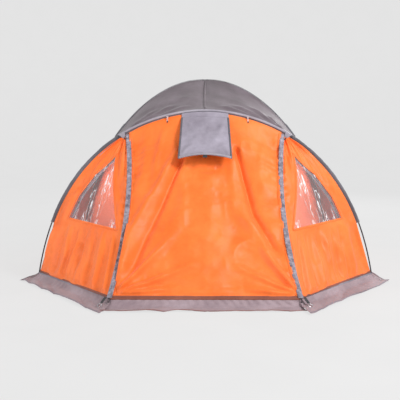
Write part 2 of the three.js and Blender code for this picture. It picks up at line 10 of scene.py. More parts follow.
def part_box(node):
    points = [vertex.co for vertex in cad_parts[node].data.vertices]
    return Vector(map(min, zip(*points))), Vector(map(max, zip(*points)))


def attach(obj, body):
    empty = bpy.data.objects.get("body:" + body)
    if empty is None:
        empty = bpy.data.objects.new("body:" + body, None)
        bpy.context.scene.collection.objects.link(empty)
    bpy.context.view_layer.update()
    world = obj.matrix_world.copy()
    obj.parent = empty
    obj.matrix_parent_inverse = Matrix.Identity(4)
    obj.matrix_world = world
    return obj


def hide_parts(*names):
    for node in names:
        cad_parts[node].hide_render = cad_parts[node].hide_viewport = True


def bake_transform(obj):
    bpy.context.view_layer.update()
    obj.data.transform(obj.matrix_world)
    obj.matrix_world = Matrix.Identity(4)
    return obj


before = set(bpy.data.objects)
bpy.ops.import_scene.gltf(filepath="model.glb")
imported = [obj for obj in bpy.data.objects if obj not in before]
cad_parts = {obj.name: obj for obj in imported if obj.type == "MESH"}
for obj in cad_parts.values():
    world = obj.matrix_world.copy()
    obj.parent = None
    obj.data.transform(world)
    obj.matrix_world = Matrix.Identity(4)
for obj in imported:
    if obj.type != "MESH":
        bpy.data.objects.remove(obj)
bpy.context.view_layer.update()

# ---- camera
ARCH_Y = sum(corner[1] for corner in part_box("arch_sleeve_top")) / 2  # the arch stands in this plane
CAMERA_DISTANCE = 5.253  # from the arch's plane
CAMERA_HEIGHT = 1.197
CAMERA_PITCH = math.radians(5.706)
CAMERA_YAW = math.radians(0.45)
camera = bpy.data.objects.new("camera", bpy.data.cameras.new("camera"))
bpy.context.scene.collection.objects.link(camera)
bpy.context.scene.camera = camera
camera.location = (0, ARCH_Y - CAMERA_DISTANCE, CAMERA_HEIGHT)
camera.rotation_euler = (math.pi / 2 - CAMERA_PITCH, 0, CAMERA_YAW)
camera.data.lens = 57.58
camera.data.clip_end = 60

# ---- driving dimensions
HEM_Z, ROOF_Z, APEX_Z = 0.070, 1.190, 1.724  # the fly's hem, the roof's lower edge, the top
APEX_Y = ARCH_Y + 0.890
REACH_X, REACH_Y = 1.030, 0.860  # from the apex to a dome pole's foot
LEG_SPAN = math.hypot(REACH_X, REACH_Y)
# How far inside their guiding curve the arch pole, the dome poles and the inner tent run
POLE_INSET, DOME_POLE_INSET, INNER_INSET = 0.009, 0.026, 0.062
SLEEVE_END_Z, SLEEVE_DEPTH, TOP_SLEEVE_DEPTH, SEAM = 0.490, 0.038, 0.052, 0.004
SLEEVE_ABOVE = 0.008  # the part of a sleeve's depth outside the pole's centre line
DOOR_Y, DOOR_HALF = -0.863, 0.666  # the door's hem, from the arch and the middle
ZIP_TOP_Y, ZIP_TOP_Z, ZIP_TOP_HALF, ZIP_SAGITTA = -0.006, 1.200, 0.625, 0.058
ARCH_FOOT_X = 1.375  # the fly's edge at its hem, beside the arch
DOOR_SEWN_INSET = 0.025  # the door's top edge, inside the arch's outer edge
PORCH_SEWN_INSET = 0.027  # the porch walls' outer edges
PORCH_TOP_Z = 1.232  # the porch walls and the storm flaps run up to the sleeve
# Share of the way from zip to arch, and height
WINDOW = np.array([(0.085, 0.494), (0.36, 0.508), (0.81, 0.533),
                   (0.79, 0.717), (0.69, 0.888), (0.38, 1.060)])
CLOTH = 0.0012  # thickness of a cloth sheet
SIDES = (("left", -1), ("right", 1))
TAU = 2 * math.pi


def xyz(x, y, z):
    return np.stack(np.broadcast_arrays(x, y, z), axis=-1).astype(float)


def lerp(a, b, t):
    return a + (b - a) * t


def smooth(low, high, value):
    t = np.clip((value - low) / (high - low), 0, 1)
    return t * t * (3 - 2 * t)


def rim(t, width):
    """1 inside the range 0 to 1, falling to 0 over width at both of its ends."""
    return smooth(0, width, t) * smooth(0, width, 1 - t)


def unit(vectors):
    return vectors / np.linalg.norm(vectors, axis=-1)[..., None]


def steps(path):
    """Distance from the start at each point of a path."""
    return np.concatenate([[0], np.cumsum(np.linalg.norm(np.diff(path, axis=0), axis=1))])


def sample(path, marks, at):
    """Points of a path, or values along it, where marks equals at."""
    return np.stack([np.interp(at, marks, path[:, c]) for c in range(3)], -1)


def closed(loop):
    return np.vstack([loop, loop[:1]])


class HalfCurve:
    """Half of a symmetric pole curve: a cubic from the top down, by share of its length."""

    def __init__(self, controls):
        t = np.linspace(0, 1, 2001)[:, None]
        p = np.array(controls, float)
        self.p = ((1 - t) ** 3 * p[0] + 3 * (1 - t) ** 2 * t * p[1]
                  + 3 * (1 - t) * t ** 2 * p[2] + t ** 3 * p[3])
        along = steps(self.p)
        self.length = along[-1]
        self.share = along / self.length
        self.d = unit(np.gradient(self.p, axis=0))

    def at(self, share, inset=0.0):
        x, z = (np.interp(share, self.share, self.p[:, k]) for k in (0, 1))
        dx, dz = (np.interp(share, self.share, self.d[:, k]) for k in (0, 1))
        return x + dz * inset, z - dx * inset

    def share_at_height(self, z, inset=0.0):
        heights = np.minimum.accumulate(self.p[:, 1] - self.d[:, 0] * inset)
        return np.interp(-np.asarray(z, float), -heights, self.share)

    def height_at(self, x, inset):
        return np.interp(np.abs(x), *self.at(np.linspace(0, 1, 1500), inset))


ARCH = HalfCurve([(0, 1.412), (0.080, 1.412), (1.190, 1.420), (1.404, 0)])
LEG = HalfCurve([(0, APEX_Z), (0.626, APEX_Z), (1.449, 1.025), (1.342, 0)])


def arch_point(share, inset=0.0, y=0.0):
    """A point beside the arch; share is negative on the left."""
    x, z = ARCH.at(np.abs(share), inset)
    return xyz(np.sign(share) * x, ARCH_Y + y, z)


def leg_point(side, end, share, inset=0.0):
    """A point on one of the dome's four ridges: side -1 is left, end -1 is towards the porch."""
    r, z = LEG.at(share, inset)
    return xyz(side * r * REACH_X / LEG_SPAN, APEX_Y + end * r * REACH_Y / LEG_SPAN, z)


LEG_AT_ROOF = float(LEG.share_at_height(ROOF_Z))
ARCH_AT_ROOF = float(ARCH.share_at_height(ROOF_Z))


def arch_edge_x(z, inset=POLE_INSET + SLEEVE_DEPTH - SLEEVE_ABOVE + SEAM):
    """Half width of the fly's edge beside the arch, at a height."""
    along = ARCH.at(ARCH.share_at_height(z, inset), inset)[0]
    at_end = ARCH.at(ARCH.share_at_height(SLEEVE_END_Z, inset), inset)[0]
    straight = lerp(ARCH_FOOT_X, at_end, (z - HEM_Z) / (SLEEVE_END_Z - HEM_Z))
    return np.where(np.asarray(z) >= SLEEVE_END_Z, along, straight)


RISE = np.array([0, ZIP_TOP_Y - DOOR_Y, ZIP_TOP_Z - HEM_Z])
ZIP_LENGTH = float(np.linalg.norm(RISE))
UP = RISE / ZIP_LENGTH
OUT = np.array([0, -UP[2], UP[1]])
_chord = math.hypot(ZIP_LENGTH, DOOR_HALF - ZIP_TOP_HALF)
ZIP_R = _chord ** 2 / (8 * ZIP_SAGITTA) + ZIP_SAGITTA / 2
_lean = np.array([ZIP_LENGTH, DOOR_HALF - ZIP_TOP_HALF]) / _chord
ZIP_CENTRE = (np.array([(ZIP_TOP_HALF + DOOR_HALF) / 2, ZIP_LENGTH / 2])
              + _lean * (ZIP_R - ZIP_SAGITTA))


def zip_x(up, offset=0.0):
    """Half width of the door at a distance up its slope."""
    return ZIP_CENTRE[0] - np.sqrt((ZIP_R - offset) ** 2 - (up - ZIP_CENTRE[1]) ** 2)


def on_slope(x, up, out=0.0):
    """A point on the flat slope from the door's hem to the zips' tops."""
    base = xyz(x, ARCH_Y + DOOR_Y, HEM_Z)
    return base + np.asarray(up)[..., None] * UP + np.asarray(out)[..., None] * OUT


def door_top(x):
    """Height of the CAD door's top edge: a little below the top sleeve, and level at its sides."""
    inset = POLE_INSET + TOP_SLEEVE_DEPTH - SLEEVE_ABOVE + SEAM
    return np.maximum(ZIP_TOP_Z, ARCH.height_at(x * 1.1, inset))


def door_point(x, v):
    """The door's cloth, which ends on the front of the top sleeve."""
    z = lerp(HEM_Z, door_top(x), v)
    z = z + (ARCH.height_at(x, DOOR_SEWN_INSET) - door_top(x)) * smooth(0.90, 1, v)
    return xyz(x, ARCH_Y + lerp(DOOR_Y, ZIP_TOP_Y, v) + 0.0005 * smooth(0.9, 1, v), z)


def porch_point(side, a, z):
    """A porch wall's cloth, a share a of the way from the zip to the arch."""
    up = (z - HEM_Z) / UP[2]
    at_zip = on_slope(side * zip_x(up, 0.011), up)
    at_arch = xyz(side * arch_edge_x(z, PORCH_SEWN_INSET), ARCH_Y - 0.0065, z)
    return lerp(at_zip, at_arch, np.asarray(a)[..., None])


# ---- noise and folds
TABLES = {}


def noise(x, y, seed):
    """Smooth value noise from -1 to 1, one cell wide per unit."""
    if seed not in TABLES:
        TABLES[seed] = np.random.RandomState(seed).rand(64, 64) * 2 - 1
    table = TABLES[seed]
    i, j = np.floor(x).astype(int), np.floor(y).astype(int)
    fx, fy = x - i, y - j
    fx, fy = fx * fx * (3 - 2 * fx), fy * fy * (3 - 2 * fy)
    low = lerp(table[i % 64, j % 64], table[(i + 1) % 64, j % 64], fx)
    high = lerp(table[i % 64, (j + 1) % 64], table[(i + 1) % 64, (j + 1) % 64], fx)
    return lerp(low, high, fy)


def crumple(x, y, size, seed, octaves=3):
    """Creased cloth: rounded ridges in turned directions, about -1 to 1."""
    total = 0.0
    for k in range(octaves):
        a = 0.6 + 1.1 * k + seed
        s = size / 1.8 ** k
        p, q = x * math.cos(a) - y * math.sin(a), x * math.sin(a) + y * math.cos(a)
        n = noise(p / s + 9.1 * k, q / s + 4.7 * k, seed + k)
        total = total + (0.55 - 1.6 * np.sqrt(n * n + 0.006)) * 0.55 ** k
    return total


def fold(x, y, path, height, width, end_width=None, skew=0.0, ends=(0.18, 0.3)):
    """One soft fold along a path of points. skew makes one of its sides steeper."""
    path = np.array(path, float)
    marks = steps(path)
    best, signed, along = np.full(np.shape(x), 1e9), np.zeros(np.shape(x)), np.zeros(np.shape(x))
    for k, size in enumerate(np.diff(marks)):
        d = (path[k + 1] - path[k]) / size
        px, py = x - path[k, 0], y - path[k, 1]
        t = np.clip(px * d[0] + py * d[1], 0, size)
        distance = np.hypot(px - t * d[0], py - t * d[1])
        near = distance < best
        best = np.where(near, distance, best)
        signed = np.where(near, np.sign(px * d[1] - py * d[0]) * distance, signed)
        along = np.where(near, (marks[k] + t) / marks[-1], along)
    w = lerp(width, end_width or width, along)
    taper = smooth(0, ends[0], along) * smooth(0, ends[1], 1 - along)
    return height * taper * (1 - skew * signed / w) * np.exp(-(signed / w) ** 2)


def folds(x, y, table):
    return sum(fold(x, y, *row) for row in table)


# ---- solids
def vertex_normals(points, faces):
    normals = np.zeros_like(points)
    normal = np.cross(points[faces[:, 1]] - points[faces[:, 0]],
                      points[faces[:, -1]] - points[faces[:, 0]])
    for k in range(faces.shape[1]):
        np.add.at(normals, faces[:, k], normal)
    return normals / np.maximum(np.linalg.norm(normals, axis=1)[:, None], 1e-12)


class Solid:
    """Collects closed shapes; build() makes one object of them."""

    def __init__(self):
        self.points, self.uvs, self.faces, self.slots, self.count = [], [], [], [], 0
        self.area = 0.0

    def put(self, points, faces, uvs, slot=0):
        self.points.append(points)
        self.uvs.append(uvs)
        for group in faces:
            self.faces.extend((np.asarray(group) + self.count).tolist())
            self.slots.extend([slot] * len(group))
        self.count += len(points)
        return self

    def sheet(self, points, faces, uvs, thickness, relief, slot=0):
        """A closed sheet: the surface, moved along its normals by relief, and thickened."""
        n, k = len(points), faces.shape[1]
        a, b, c = (points[faces[:, i]] for i in (0, 1, -1))
        size = float(np.linalg.norm(np.cross(b - a, c - a), axis=1).sum())
        self.area += size if k == 4 else size / 2
        if relief is not None:
            points = points + vertex_normals(points, faces) * relief.ravel()[:, None]
        half = vertex_normals(points, faces) * thickness / 2
        edges = np.vstack([np.stack([faces[:, i], faces[:, (i + 1) % k]], 1) for i in range(k)])
        rim_edges = edges[~np.isin(edges[:, 0] * n + edges[:, 1], edges[:, 1] * n + edges[:, 0])]
        a, b = rim_edges.T
        walls = np.stack([b, a, a + n, b + n], 1)
        return self.put(np.vstack([points + half, points - half]),
                        [faces, faces[:, ::-1] + n, walls], np.vstack([uvs, uvs]), slot)

    def grid(self, nu, nv, place, relief=None, thickness=CLOTH, keep=None, slot=0, flip=False):
        """A closed sheet over place(u, v); relief(u, v) moves it along its normal."""
        u, v = np.meshgrid(np.linspace(0, 1, nu + 1), np.linspace(0, 1, nv + 1))
        points = place(u, v)
        du = np.linalg.norm(np.diff(points, axis=1), axis=2)
        dv = np.linalg.norm(np.diff(points, axis=0), axis=2)
        self.size = (float(du.sum(1).max()), float(dv.sum(0).max()))
        uvs = np.stack([u.ravel() * self.size[0], v.ravel() * self.size[1]], 1)
        a = (np.arange(nv)[:, None] * (nu + 1) + np.arange(nu)).ravel()
        faces = np.stack([a, a + 1, a + nu + 2, a + nu + 1], 1)
        if keep is not None:
            cu, cv = (np.arange(nu) + 0.5) / nu, (np.arange(nv) + 0.5) / nv
            faces = faces[keep(*np.meshgrid(cu, cv)).ravel()]
        if flip:
            faces = faces[:, ::-1]
        moved = None if relief is None else relief(u, v)
        return self.sheet(points.reshape(-1, 3), faces, uvs, thickness, moved, slot)

    def region(self, outline, holes, spacing, place, relief=None, thickness=CLOTH):
        """A closed sheet over a flat outline with holes, in fine triangles, bent by place."""
        loops = [np.array(loop, float) for loop in (outline, *holes)]
        flat = [split_loop(loop, spacing) for loop in loops]
        edges, start = [], 0
        for loop in flat:
            edges += [(start + i, start + (i + 1) % len(loop)) for i in range(len(loop))]
            start += len(loop)
        low, high = loops[0].min(0), loops[0].max(0)

        def within(points, margin):
            good = inside(points, loops[0]) & (edge_distance(points, loops[0]) >= margin)
            for loop in loops[1:]:
                good &= ~inside(points, loop) & (edge_distance(points, loop) >= margin)
            return good

        inner = np.vstack([[(x, row) for x in np.arange(low[0] + (j % 2) * spacing / 2, high[0], spacing)]
                           for j, row in enumerate(np.arange(low[1], high[1], spacing * 0.866))])
        every = np.vstack(flat + [inner[within(inner, spacing * 0.45)]])
        made = geometry.delaunay_2d_cdt([Vector(p) for p in every.tolist()], edges, [], 0, 1e-7)
        points, faces = (np.array([tuple(row) for row in rows]) for rows in (made[0], made[2]))
        faces = faces[within(points[faces].mean(1), 0)]
        moved = None if relief is None else relief(points[:, 0], points[:, 1])
        self.size = tuple(high - low)
        return self.sheet(place(points[:, 0], points[:, 1]), faces, points, thickness, moved)

    def ribbon(self, path, normal, low, high, lift=0.0, dome=0.0, thickness=CLOTH, across=3):
        """A strip along a path, from low to high beside it. It stands lift off along normal,
        and dome more in its middle; across is how many faces wide it is."""
        path = np.asarray(path, float)
        normal = np.broadcast_to(np.asarray(normal, float), path.shape)
        beside = unit(np.cross(np.gradient(path, axis=0), normal))

        def place(u, v):
            i = np.rint(u * (len(path) - 1)).astype(int)
            off, rise = lerp(low, high, v), lift + dome * 4 * v * (1 - v)
            return path[i] + beside[i] * off[..., None] + normal[i] * rise[..., None]

        return self.grid(len(path) - 1, across, place, None, thickness)

    def tube(self, path, radius, sides=10, slot=0, flat=1.0, hint=(0, 0, 1)):
        """A round bar along a path; radius may vary; flat squeezes it across hint."""
        path, hint = np.asarray(path, float), np.asarray(hint, float)
        n = len(path)
        radius = np.broadcast_to(np.asarray(radius, float), (n,))
        direction = unit(np.gradient(path, axis=0))
        a = hint - direction[0] * (direction[0] @ hint)
        if np.linalg.norm(a) < 0.1:
            a = np.cross(direction[0], (0.3, 1, 0.2))
        first = []
        for d in direction:
            a = unit(a - d * (a @ d))
            first.append(a)
        first = np.array(first)
        second = np.cross(direction, first)
        angle = np.linspace(0, TAU, sides, endpoint=False)
        ring = (first[:, None] * (np.cos(angle) * flat)[None, :, None]
                + second[:, None] * np.sin(angle)[None, :, None])
        points = (path[:, None] + ring * radius[:, None, None]).reshape(-1, 3)
        uvs = np.stack([np.repeat(steps(path), sides),
                        np.tile(angle, n) * np.repeat(radius, sides)], 1)
        i, k = np.meshgrid(np.arange(n - 1), np.arange(sides), indexing="ij")
        a, b = (i * sides + k).ravel(), (i * sides + (k + 1) % sides).ravel()
        walls = np.stack([a, b, b + sides, a + sides], 1)
        ends = [range(sides - 1, -1, -1)], [range((n - 1) * sides, n * sides)]
        return self.put(points, [walls, *ends], uvs, slot)

    def stitches(self, path, normal, lift=0.0012, pitch=0.007):
        """A row of thread stitches along a path on a surface."""
        path = np.asarray(path, float)
        normal = np.broadcast_to(np.asarray(normal, float), path.shape)
        mark = steps(path)
        for s in np.arange(pitch / 2, mark[-1] - pitch, pitch):
            out = sample(normal, mark, s)
            self.tube([sample(path, mark, s + k * pitch) + out * lift * rise
                       for k, rise in ((0, 0.3), (0.3, 1), (0.62, 0.3))], 0.0006, 4)
        return self

    def build(self, name, *materials, slot, body="shell", replaces=(), bend=False, held=None):
        mesh = bpy.data.meshes.new(name)
        mesh.from_pydata(np.vstack(self.points).tolist(), [], self.faces)
        layer = mesh.uv_layers.new(name="cloth")
        corner = np.zeros(len(mesh.loops), int)
        mesh.loops.foreach_get("vertex_index", corner)
        layer.data.foreach_set("uv", np.vstack(self.uvs)[corner].ravel())
        mesh.polygons.foreach_set("material_index", self.slots)
        for material in materials:
            mesh.materials.append(material)
        mesh.polygons.foreach_set("use_smooth", [True] * len(mesh.polygons))
        mesh.validate()
        piece = bpy.data.objects.new(name, mesh)
        bpy.context.scene.collection.objects.link(piece)
        if replaces:
            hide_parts(*replaces)
        if bend:
            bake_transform(piece)
        else:
            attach(piece, body)


def split_loop(loop, spacing):
    """A closed outline with points about a spacing apart."""
    out = []
    for p, q in zip(loop, np.roll(loop, -1, axis=0)):
        count = max(1, round(float(np.linalg.norm(q - p)) / spacing))
        out += [lerp(p, q, k / count) for k in range(count)]
    return np.array(out)


def inside(points, loop):
    """Which points a closed outline goes round."""
    x, y = points[:, 0], points[:, 1]
    result = np.zeros(len(points), bool)
    for (ax, ay), (bx, by) in zip(loop, np.roll(loop, -1, axis=0)):
        if ay == by:
            continue
        result ^= ((ay > y) != (by > y)) & (x < (bx - ax) * (y - ay) / (by - ay) + ax)
    return result


def edge_distance(points, loop):
    best = np.full(len(points), 1e9)
    for p, q in zip(loop, np.roll(loop, -1, axis=0)):
        d = q - p
        t = np.clip(((points - p) @ d) / max(float(d @ d), 1e-12), 0, 1)
        best = np.minimum(best, np.linalg.norm(points - p - t[:, None] * d, axis=1))
    return best


# ---- materials
class Shader:
    """A Principled material under construction. Its inputs are given by name, _ for a space."""

    def __init__(self, name, roughness, **inputs):
        self.material = bpy.data.materials.new(name)
        self.material.use_nodes = True
        self.nodes, self.links = self.material.node_tree.nodes, self.material.node_tree.links
        self.shader = self.nodes["Principled BSDF"]
        self.fill(self.shader, {"Roughness": roughness})
        self.fill(self.shader, {key.replace("_", " "): value for key, value in inputs.items()})
        coordinates = self.nodes.new("ShaderNodeTexCoord")
        self.uv, self.object = coordinates.outputs["UV"], coordinates.outputs["Object"]

    def fill(self, node, values):
        """Sets or links a node's inputs, by name or number."""
        for key, value in values.items():
            if isinstance(value, bpy.types.NodeSocket):
                self.links.new(value, node.inputs[key])
            else:
                node.inputs[key].default_value = value
        return node

    def drive(self, key, output):
        self.links.new(output, self.shader.inputs[key])

    def noise(self, source, scale, detail=3.0, rough=0.55, kind="FBM"):
        node = self.nodes.new("ShaderNodeTexNoise")
        node.noise_type = kind
        values = {"Vector": source, "Scale": scale, "Detail": detail, "Roughness": rough}
        return self.fill(node, values).outputs[0]

    def waves(self, source, scale, axis, distort=0.0):
        node = self.nodes.new("ShaderNodeTexWave")
        node.bands_direction = axis
        values = {"Vector": source, "Scale": scale, "Distortion": distort}
        return self.fill(node, values).outputs["Fac"]

    def stretch(self, source, scale):
        node = self.nodes.new("ShaderNodeMapping")
        return self.fill(node, {"Vector": source, "Scale": scale}).outputs[0]

    def math(self, kind, a, b=0.0):
        node = self.nodes.new("ShaderNodeMath")
        node.operation = kind
        return self.fill(node, {0: a, 1: b}).outputs[0]

    def multiply_colour(self, a, b):
        node = self.nodes.new("ShaderNodeMix")
        node.data_type, node.blend_type = "RGBA", "MULTIPLY"
        return self.fill(node, {0: 1.0, 6: a, 7: b}).outputs[2]

    def range(self, source, low, high, to_low, to_high):
        node = self.nodes.new("ShaderNodeMapRange")
        return self.fill(node, dict(enumerate((source, low, high, to_low, to_high)))).outputs[0]

    def ramp(self, source, stops):
        node = self.nodes.new("ShaderNodeValToRGB")
        elements = node.color_ramp.elements
        while len(elements) < len(stops):
            elements.new(0.5)
        for element, (position, colour) in zip(elements, stops):
            element.position, element.color = position, (*colour, 1)
        return self.fill(node, {0: source}).outputs[0]

    def bump(self, *layers):
        """layers of (height, strength, distance), each on top of the last. Ends the material."""
        last = None
        for height, strength, distance in layers:
            node = self.nodes.new("ShaderNodeBump")
            self.fill(node, {"Strength": strength, "Distance": distance, "Height": height})
            if last:
                self.links.new(last, node.inputs["Normal"])
            last = node.outputs["Normal"]
        self.drive("Normal", last)
        return self.material


def srgb(*rgb):
    """Linear colour from 0 to 255 values."""
    values = (c / 255 for c in rgb)
    return tuple(c / 12.92 if c <= 0.04045 else ((c + 0.055) / 1.055) ** 2.4 for c in values)


def fabric(name, base, light, dark, roughness=0.6, sheen=0.15, creases=0.35, blotches=3.0):
    """Coated polyester: a plain weave, soft blotches and storage creases."""
    s = Shader(name, roughness, Sheen_Weight=sheen, Sheen_Roughness=0.5, Specular_IOR_Level=0.35)
    blotch = s.noise(s.uv, blotches, 3, 0.6)
    tone = s.ramp(blotch, [(0.3, srgb(*dark)), (0.5, srgb(*base)), (0.72, srgb(*light))])
    cloth = s.math("MULTIPLY", s.waves(s.uv, WEAVE, "X"), s.waves(s.uv, WEAVE, "Y"))
    threads = s.range(cloth, 0, 1, 0.93, 1.04)
    mottled = s.range(s.noise(s.uv, 38.0, 2, 0.5), 0.3, 0.7, 0.96, 1.04)
    shade = s.math("MULTIPLY", threads, mottled)
    s.drive("Base Color", s.multiply_colour(tone, shade))
    s.drive("Roughness", s.range(blotch, 0.3, 0.7, roughness - 0.07, roughness + 0.07))
    crease = s.noise(s.uv, 16.0, 4, 0.6, "RIDGED_MULTIFRACTAL")
    return s.bump((crease, creases, 0.0022), (cloth, 0.25, 0.0003))


def shades(colour, low, dark, high, light):
    """Two stops of a ramp: darker and lighter shades of a colour."""
    return [(low, tuple(dark * c for c in colour)), (high, tuple(light * c for c in colour))]


def plastic(name, colour, roughness=0.45):
    s = Shader(name, roughness)
    speck = s.noise(s.object, 260.0, 3, 0.6)
    wear = s.noise(s.object, 30.0, 3, 0.6)
    s.drive("Base Color", s.ramp(wear, shades(colour, 0.3, 0.8, 0.7, 1.3)))
    s.drive("Roughness", s.range(wear, 0.3, 0.7, roughness - 0.08, roughness + 0.12))
    return s.bump((speck, 0.15, 0.0004))


def metal(name, colour, roughness=0.3):
    s = Shader(name, roughness, Metallic=1.0)
    brushed = s.noise(s.object, 120.0, 4, 0.6)
    s.drive("Base Color", s.ramp(brushed, shades(colour, 0.3, 0.8, 0.7, 1)))
    s.drive("Roughness", s.range(brushed, 0.3, 0.7, roughness - 0.08, roughness + 0.15))
    return s.bump((brushed, 0.1, 0.0003))


def webbing(name, colour):
    """Woven tape: ribs across its length and a fine twill."""
    s = Shader(name, 0.75, Sheen_Weight=0.2)
    both = s.math("MULTIPLY", s.waves(s.object, 260.0, "Z", 1.0),
                  s.waves(s.object, 330.0, "DIAGONAL", 0.5))
    s.drive("Base Color", s.ramp(both, shades(colour, 0.1, 0.6, 0.8, 1.5)))
    return s.bump((both, 0.6, 0.0006))


def film(name):
    """Clear PVC: nearly invisible where smooth, milky along its creases. The milky marks are partly crease
    whitening and partly painted highlight standing in for glare.
    """
    s = Shader(name, 0.12, Specular_IOR_Level=0.9, Base_Color=(0.90, 0.91, 0.93, 1))
    upright = s.stretch(s.uv, (1.0, 0.30, 1.0))
    broad = s.noise(upright, 6.0, 2, 0.5)
    lines = s.noise(upright, 13.0, 2, 0.6)
    thin = s.range(s.math("ABSOLUTE", s.math("SUBTRACT", lines, 0.5)), 0.0, 0.020, 1, 0)
    # White blotches beside the creases: painted highlight standing in for glare on the film.
    painted_glare = s.range(s.noise(upright, 22.0, 3, 0.6), 0.56, 0.62, 0, 1)
    where = s.range(broad, 0.49, 0.57, 0, 1)
    crease = s.math("MAXIMUM", s.math("MULTIPLY", thin, where), s.math("MULTIPLY", painted_glare, where))
    s.drive("Alpha", s.range(crease, 0, 1, 0.07, 0.85))
    s.drive("Roughness", s.range(broad, 0.3, 0.7, 0.08, 0.22))
    return s.bump((lines, 0.5, 0.006))


def insect_mesh(name):
    s = Shader(name, 0.8)
    s.drive("Base Color", s.ramp(s.noise(s.uv, 20.0, 2),
                                 [(0.3, (0.012, 0.012, 0.014)), (0.7, (0.03, 0.03, 0.034))]))
    holes = s.math("MULTIPLY", s.waves(s.uv, 300.0, "X"), s.waves(s.uv, 300.0, "Y"))
    s.drive("Alpha", s.range(holes, 0.3, 0.6, 0.95, 0.55))
    return s.bump((holes, 0.4, 0.0005))


def coil(name):
    s = Shader(name, 0.45)
    teeth = s.waves(s.uv, 420.0, "X")
    s.drive("Base Color", s.ramp(teeth, [(0.2, srgb(50, 50, 56)), (0.8, srgb(110, 110, 118))]))
    return s.bump((teeth, 0.9, 0.0012))


WEAVE = 420.0
ORANGE = fabric("orange_polyester", (250, 118, 44), (254, 128, 54), (244, 108, 36), 0.5,
                creases=0.9)
ROOF = fabric("roof_polyester", (111, 99, 106), (126, 114, 122), (95, 84, 90), 0.62)
SLEEVE = fabric("sleeve_polyester", (96, 95, 102), (116, 114, 124), (78, 76, 84), 0.7)
# The flap cloth's strong light and dark mottling, about 4 cm across, is painted shade and highlight standing
# in for the light on its puckers.
FLAP_PUCKER_SHADE = fabric("flap_polyester_painted_pucker_shade", (140, 134, 146), (176, 170, 182), (84, 79, 90), 0.65,
              blotches=26.0)
TRIM = fabric("trim_polyester", (134, 129, 141), (154, 149, 162), (106, 101, 112), 0.65)
SKIRT = fabric("skirt_polyester", (158, 138, 144), (174, 156, 164), (136, 117, 124), 0.65)
HOOD = fabric("hood_polyester", (152, 145, 158), (170, 163, 178), (126, 118, 130))
# Light grey for the piping, roof tabs and hood hem; it also colours the painted highlight strip on the top
# sleeve.
PIPING_AND_HIGHLIGHT = fabric("piping_and_highlight", (158, 152, 162), (172, 167, 176), (138, 132, 142))
INNER = fabric("inner_polyester", (232, 118, 72), (240, 130, 84), (216, 104, 60), 0.8, 0.3)
FLOOR = fabric("groundsheet_polyethylene", (86, 86, 94), (100, 100, 108), (70, 70, 78), 0.55)
# Dark hem colour: partly the binding's own colour and partly painted shade, darkened to stand in for the
# shade under the door's hem. The porch hems share it.
HEM_DARKENED_FOR_SHADE = fabric("hem_binding_painted_shade", (136, 78, 62), (152, 90, 74), (112, 62, 50), 0.7)
THREAD = plastic("thread", srgb(120, 112, 122), 0.8)
THREAD_WARM = plastic("thread_warm", srgb(224, 110, 58), 0.8)
ELASTIC = webbing("elastic_cord", srgb(226, 205, 205))
WEBBING = webbing("black_webbing", srgb(44, 44, 48))
BLACK = plastic("black_nylon", srgb(38, 38, 42))
FIBRE = plastic("pole_fibreglass", srgb(44, 44, 50), 0.28)
STEEL = metal("zinc_steel", (0.60, 0.61, 0.63))
FERRULE = metal("ferrule_steel", (0.45, 0.45, 0.47))
FILM = film("window_film")
MESH = insect_mesh("insect_mesh")
COIL = coil("zip_coil")


def finish_node(name, material):
    """Gives a CAD node that stays its material."""
    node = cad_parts[name]
    node.data.materials.clear()
    node.data.materials.append(material)
    for slot in node.material_slots:
        slot.material = material


# ---- roof and walls
def outward(path):
    """Unit directions away from the tent's middle, square to a path."""
    direction = unit(np.gradient(path, axis=0))
    away = path - np.array([0, APEX_Y, 0.35])
    return unit(away - direction * (away * direction).sum(1)[:, None])


ROOF_FOLDS = (
    ([(-0.52, 0.02), (-0.25, 0.35)], 0.007, 0.03, 0.05), ([(-0.62, 0.02), (-0.42, 0.45)], 0.006, 0.03, 0.05),
    ([(0.50, 0.02), (0.22, 0.30)], 0.008, 0.025, 0.05), ([(0.60, 0.03), (0.38, 0.48)], 0.008, 0.025, 0.05),
    ([(0.40, 0.02), (0.10, 0.16)], 0.006, 0.02, 0.04), ([(0.66, 0.03), (0.52, 0.5)], 0.006, 0.02, 0.04),
    ([(-0.40, 0.02), (-0.12, 0.2)], 0.005, 0.02, 0.05), ([(0.0, 0.05), (0.0, 0.9)], -0.004, 0.05, 0.03),
)


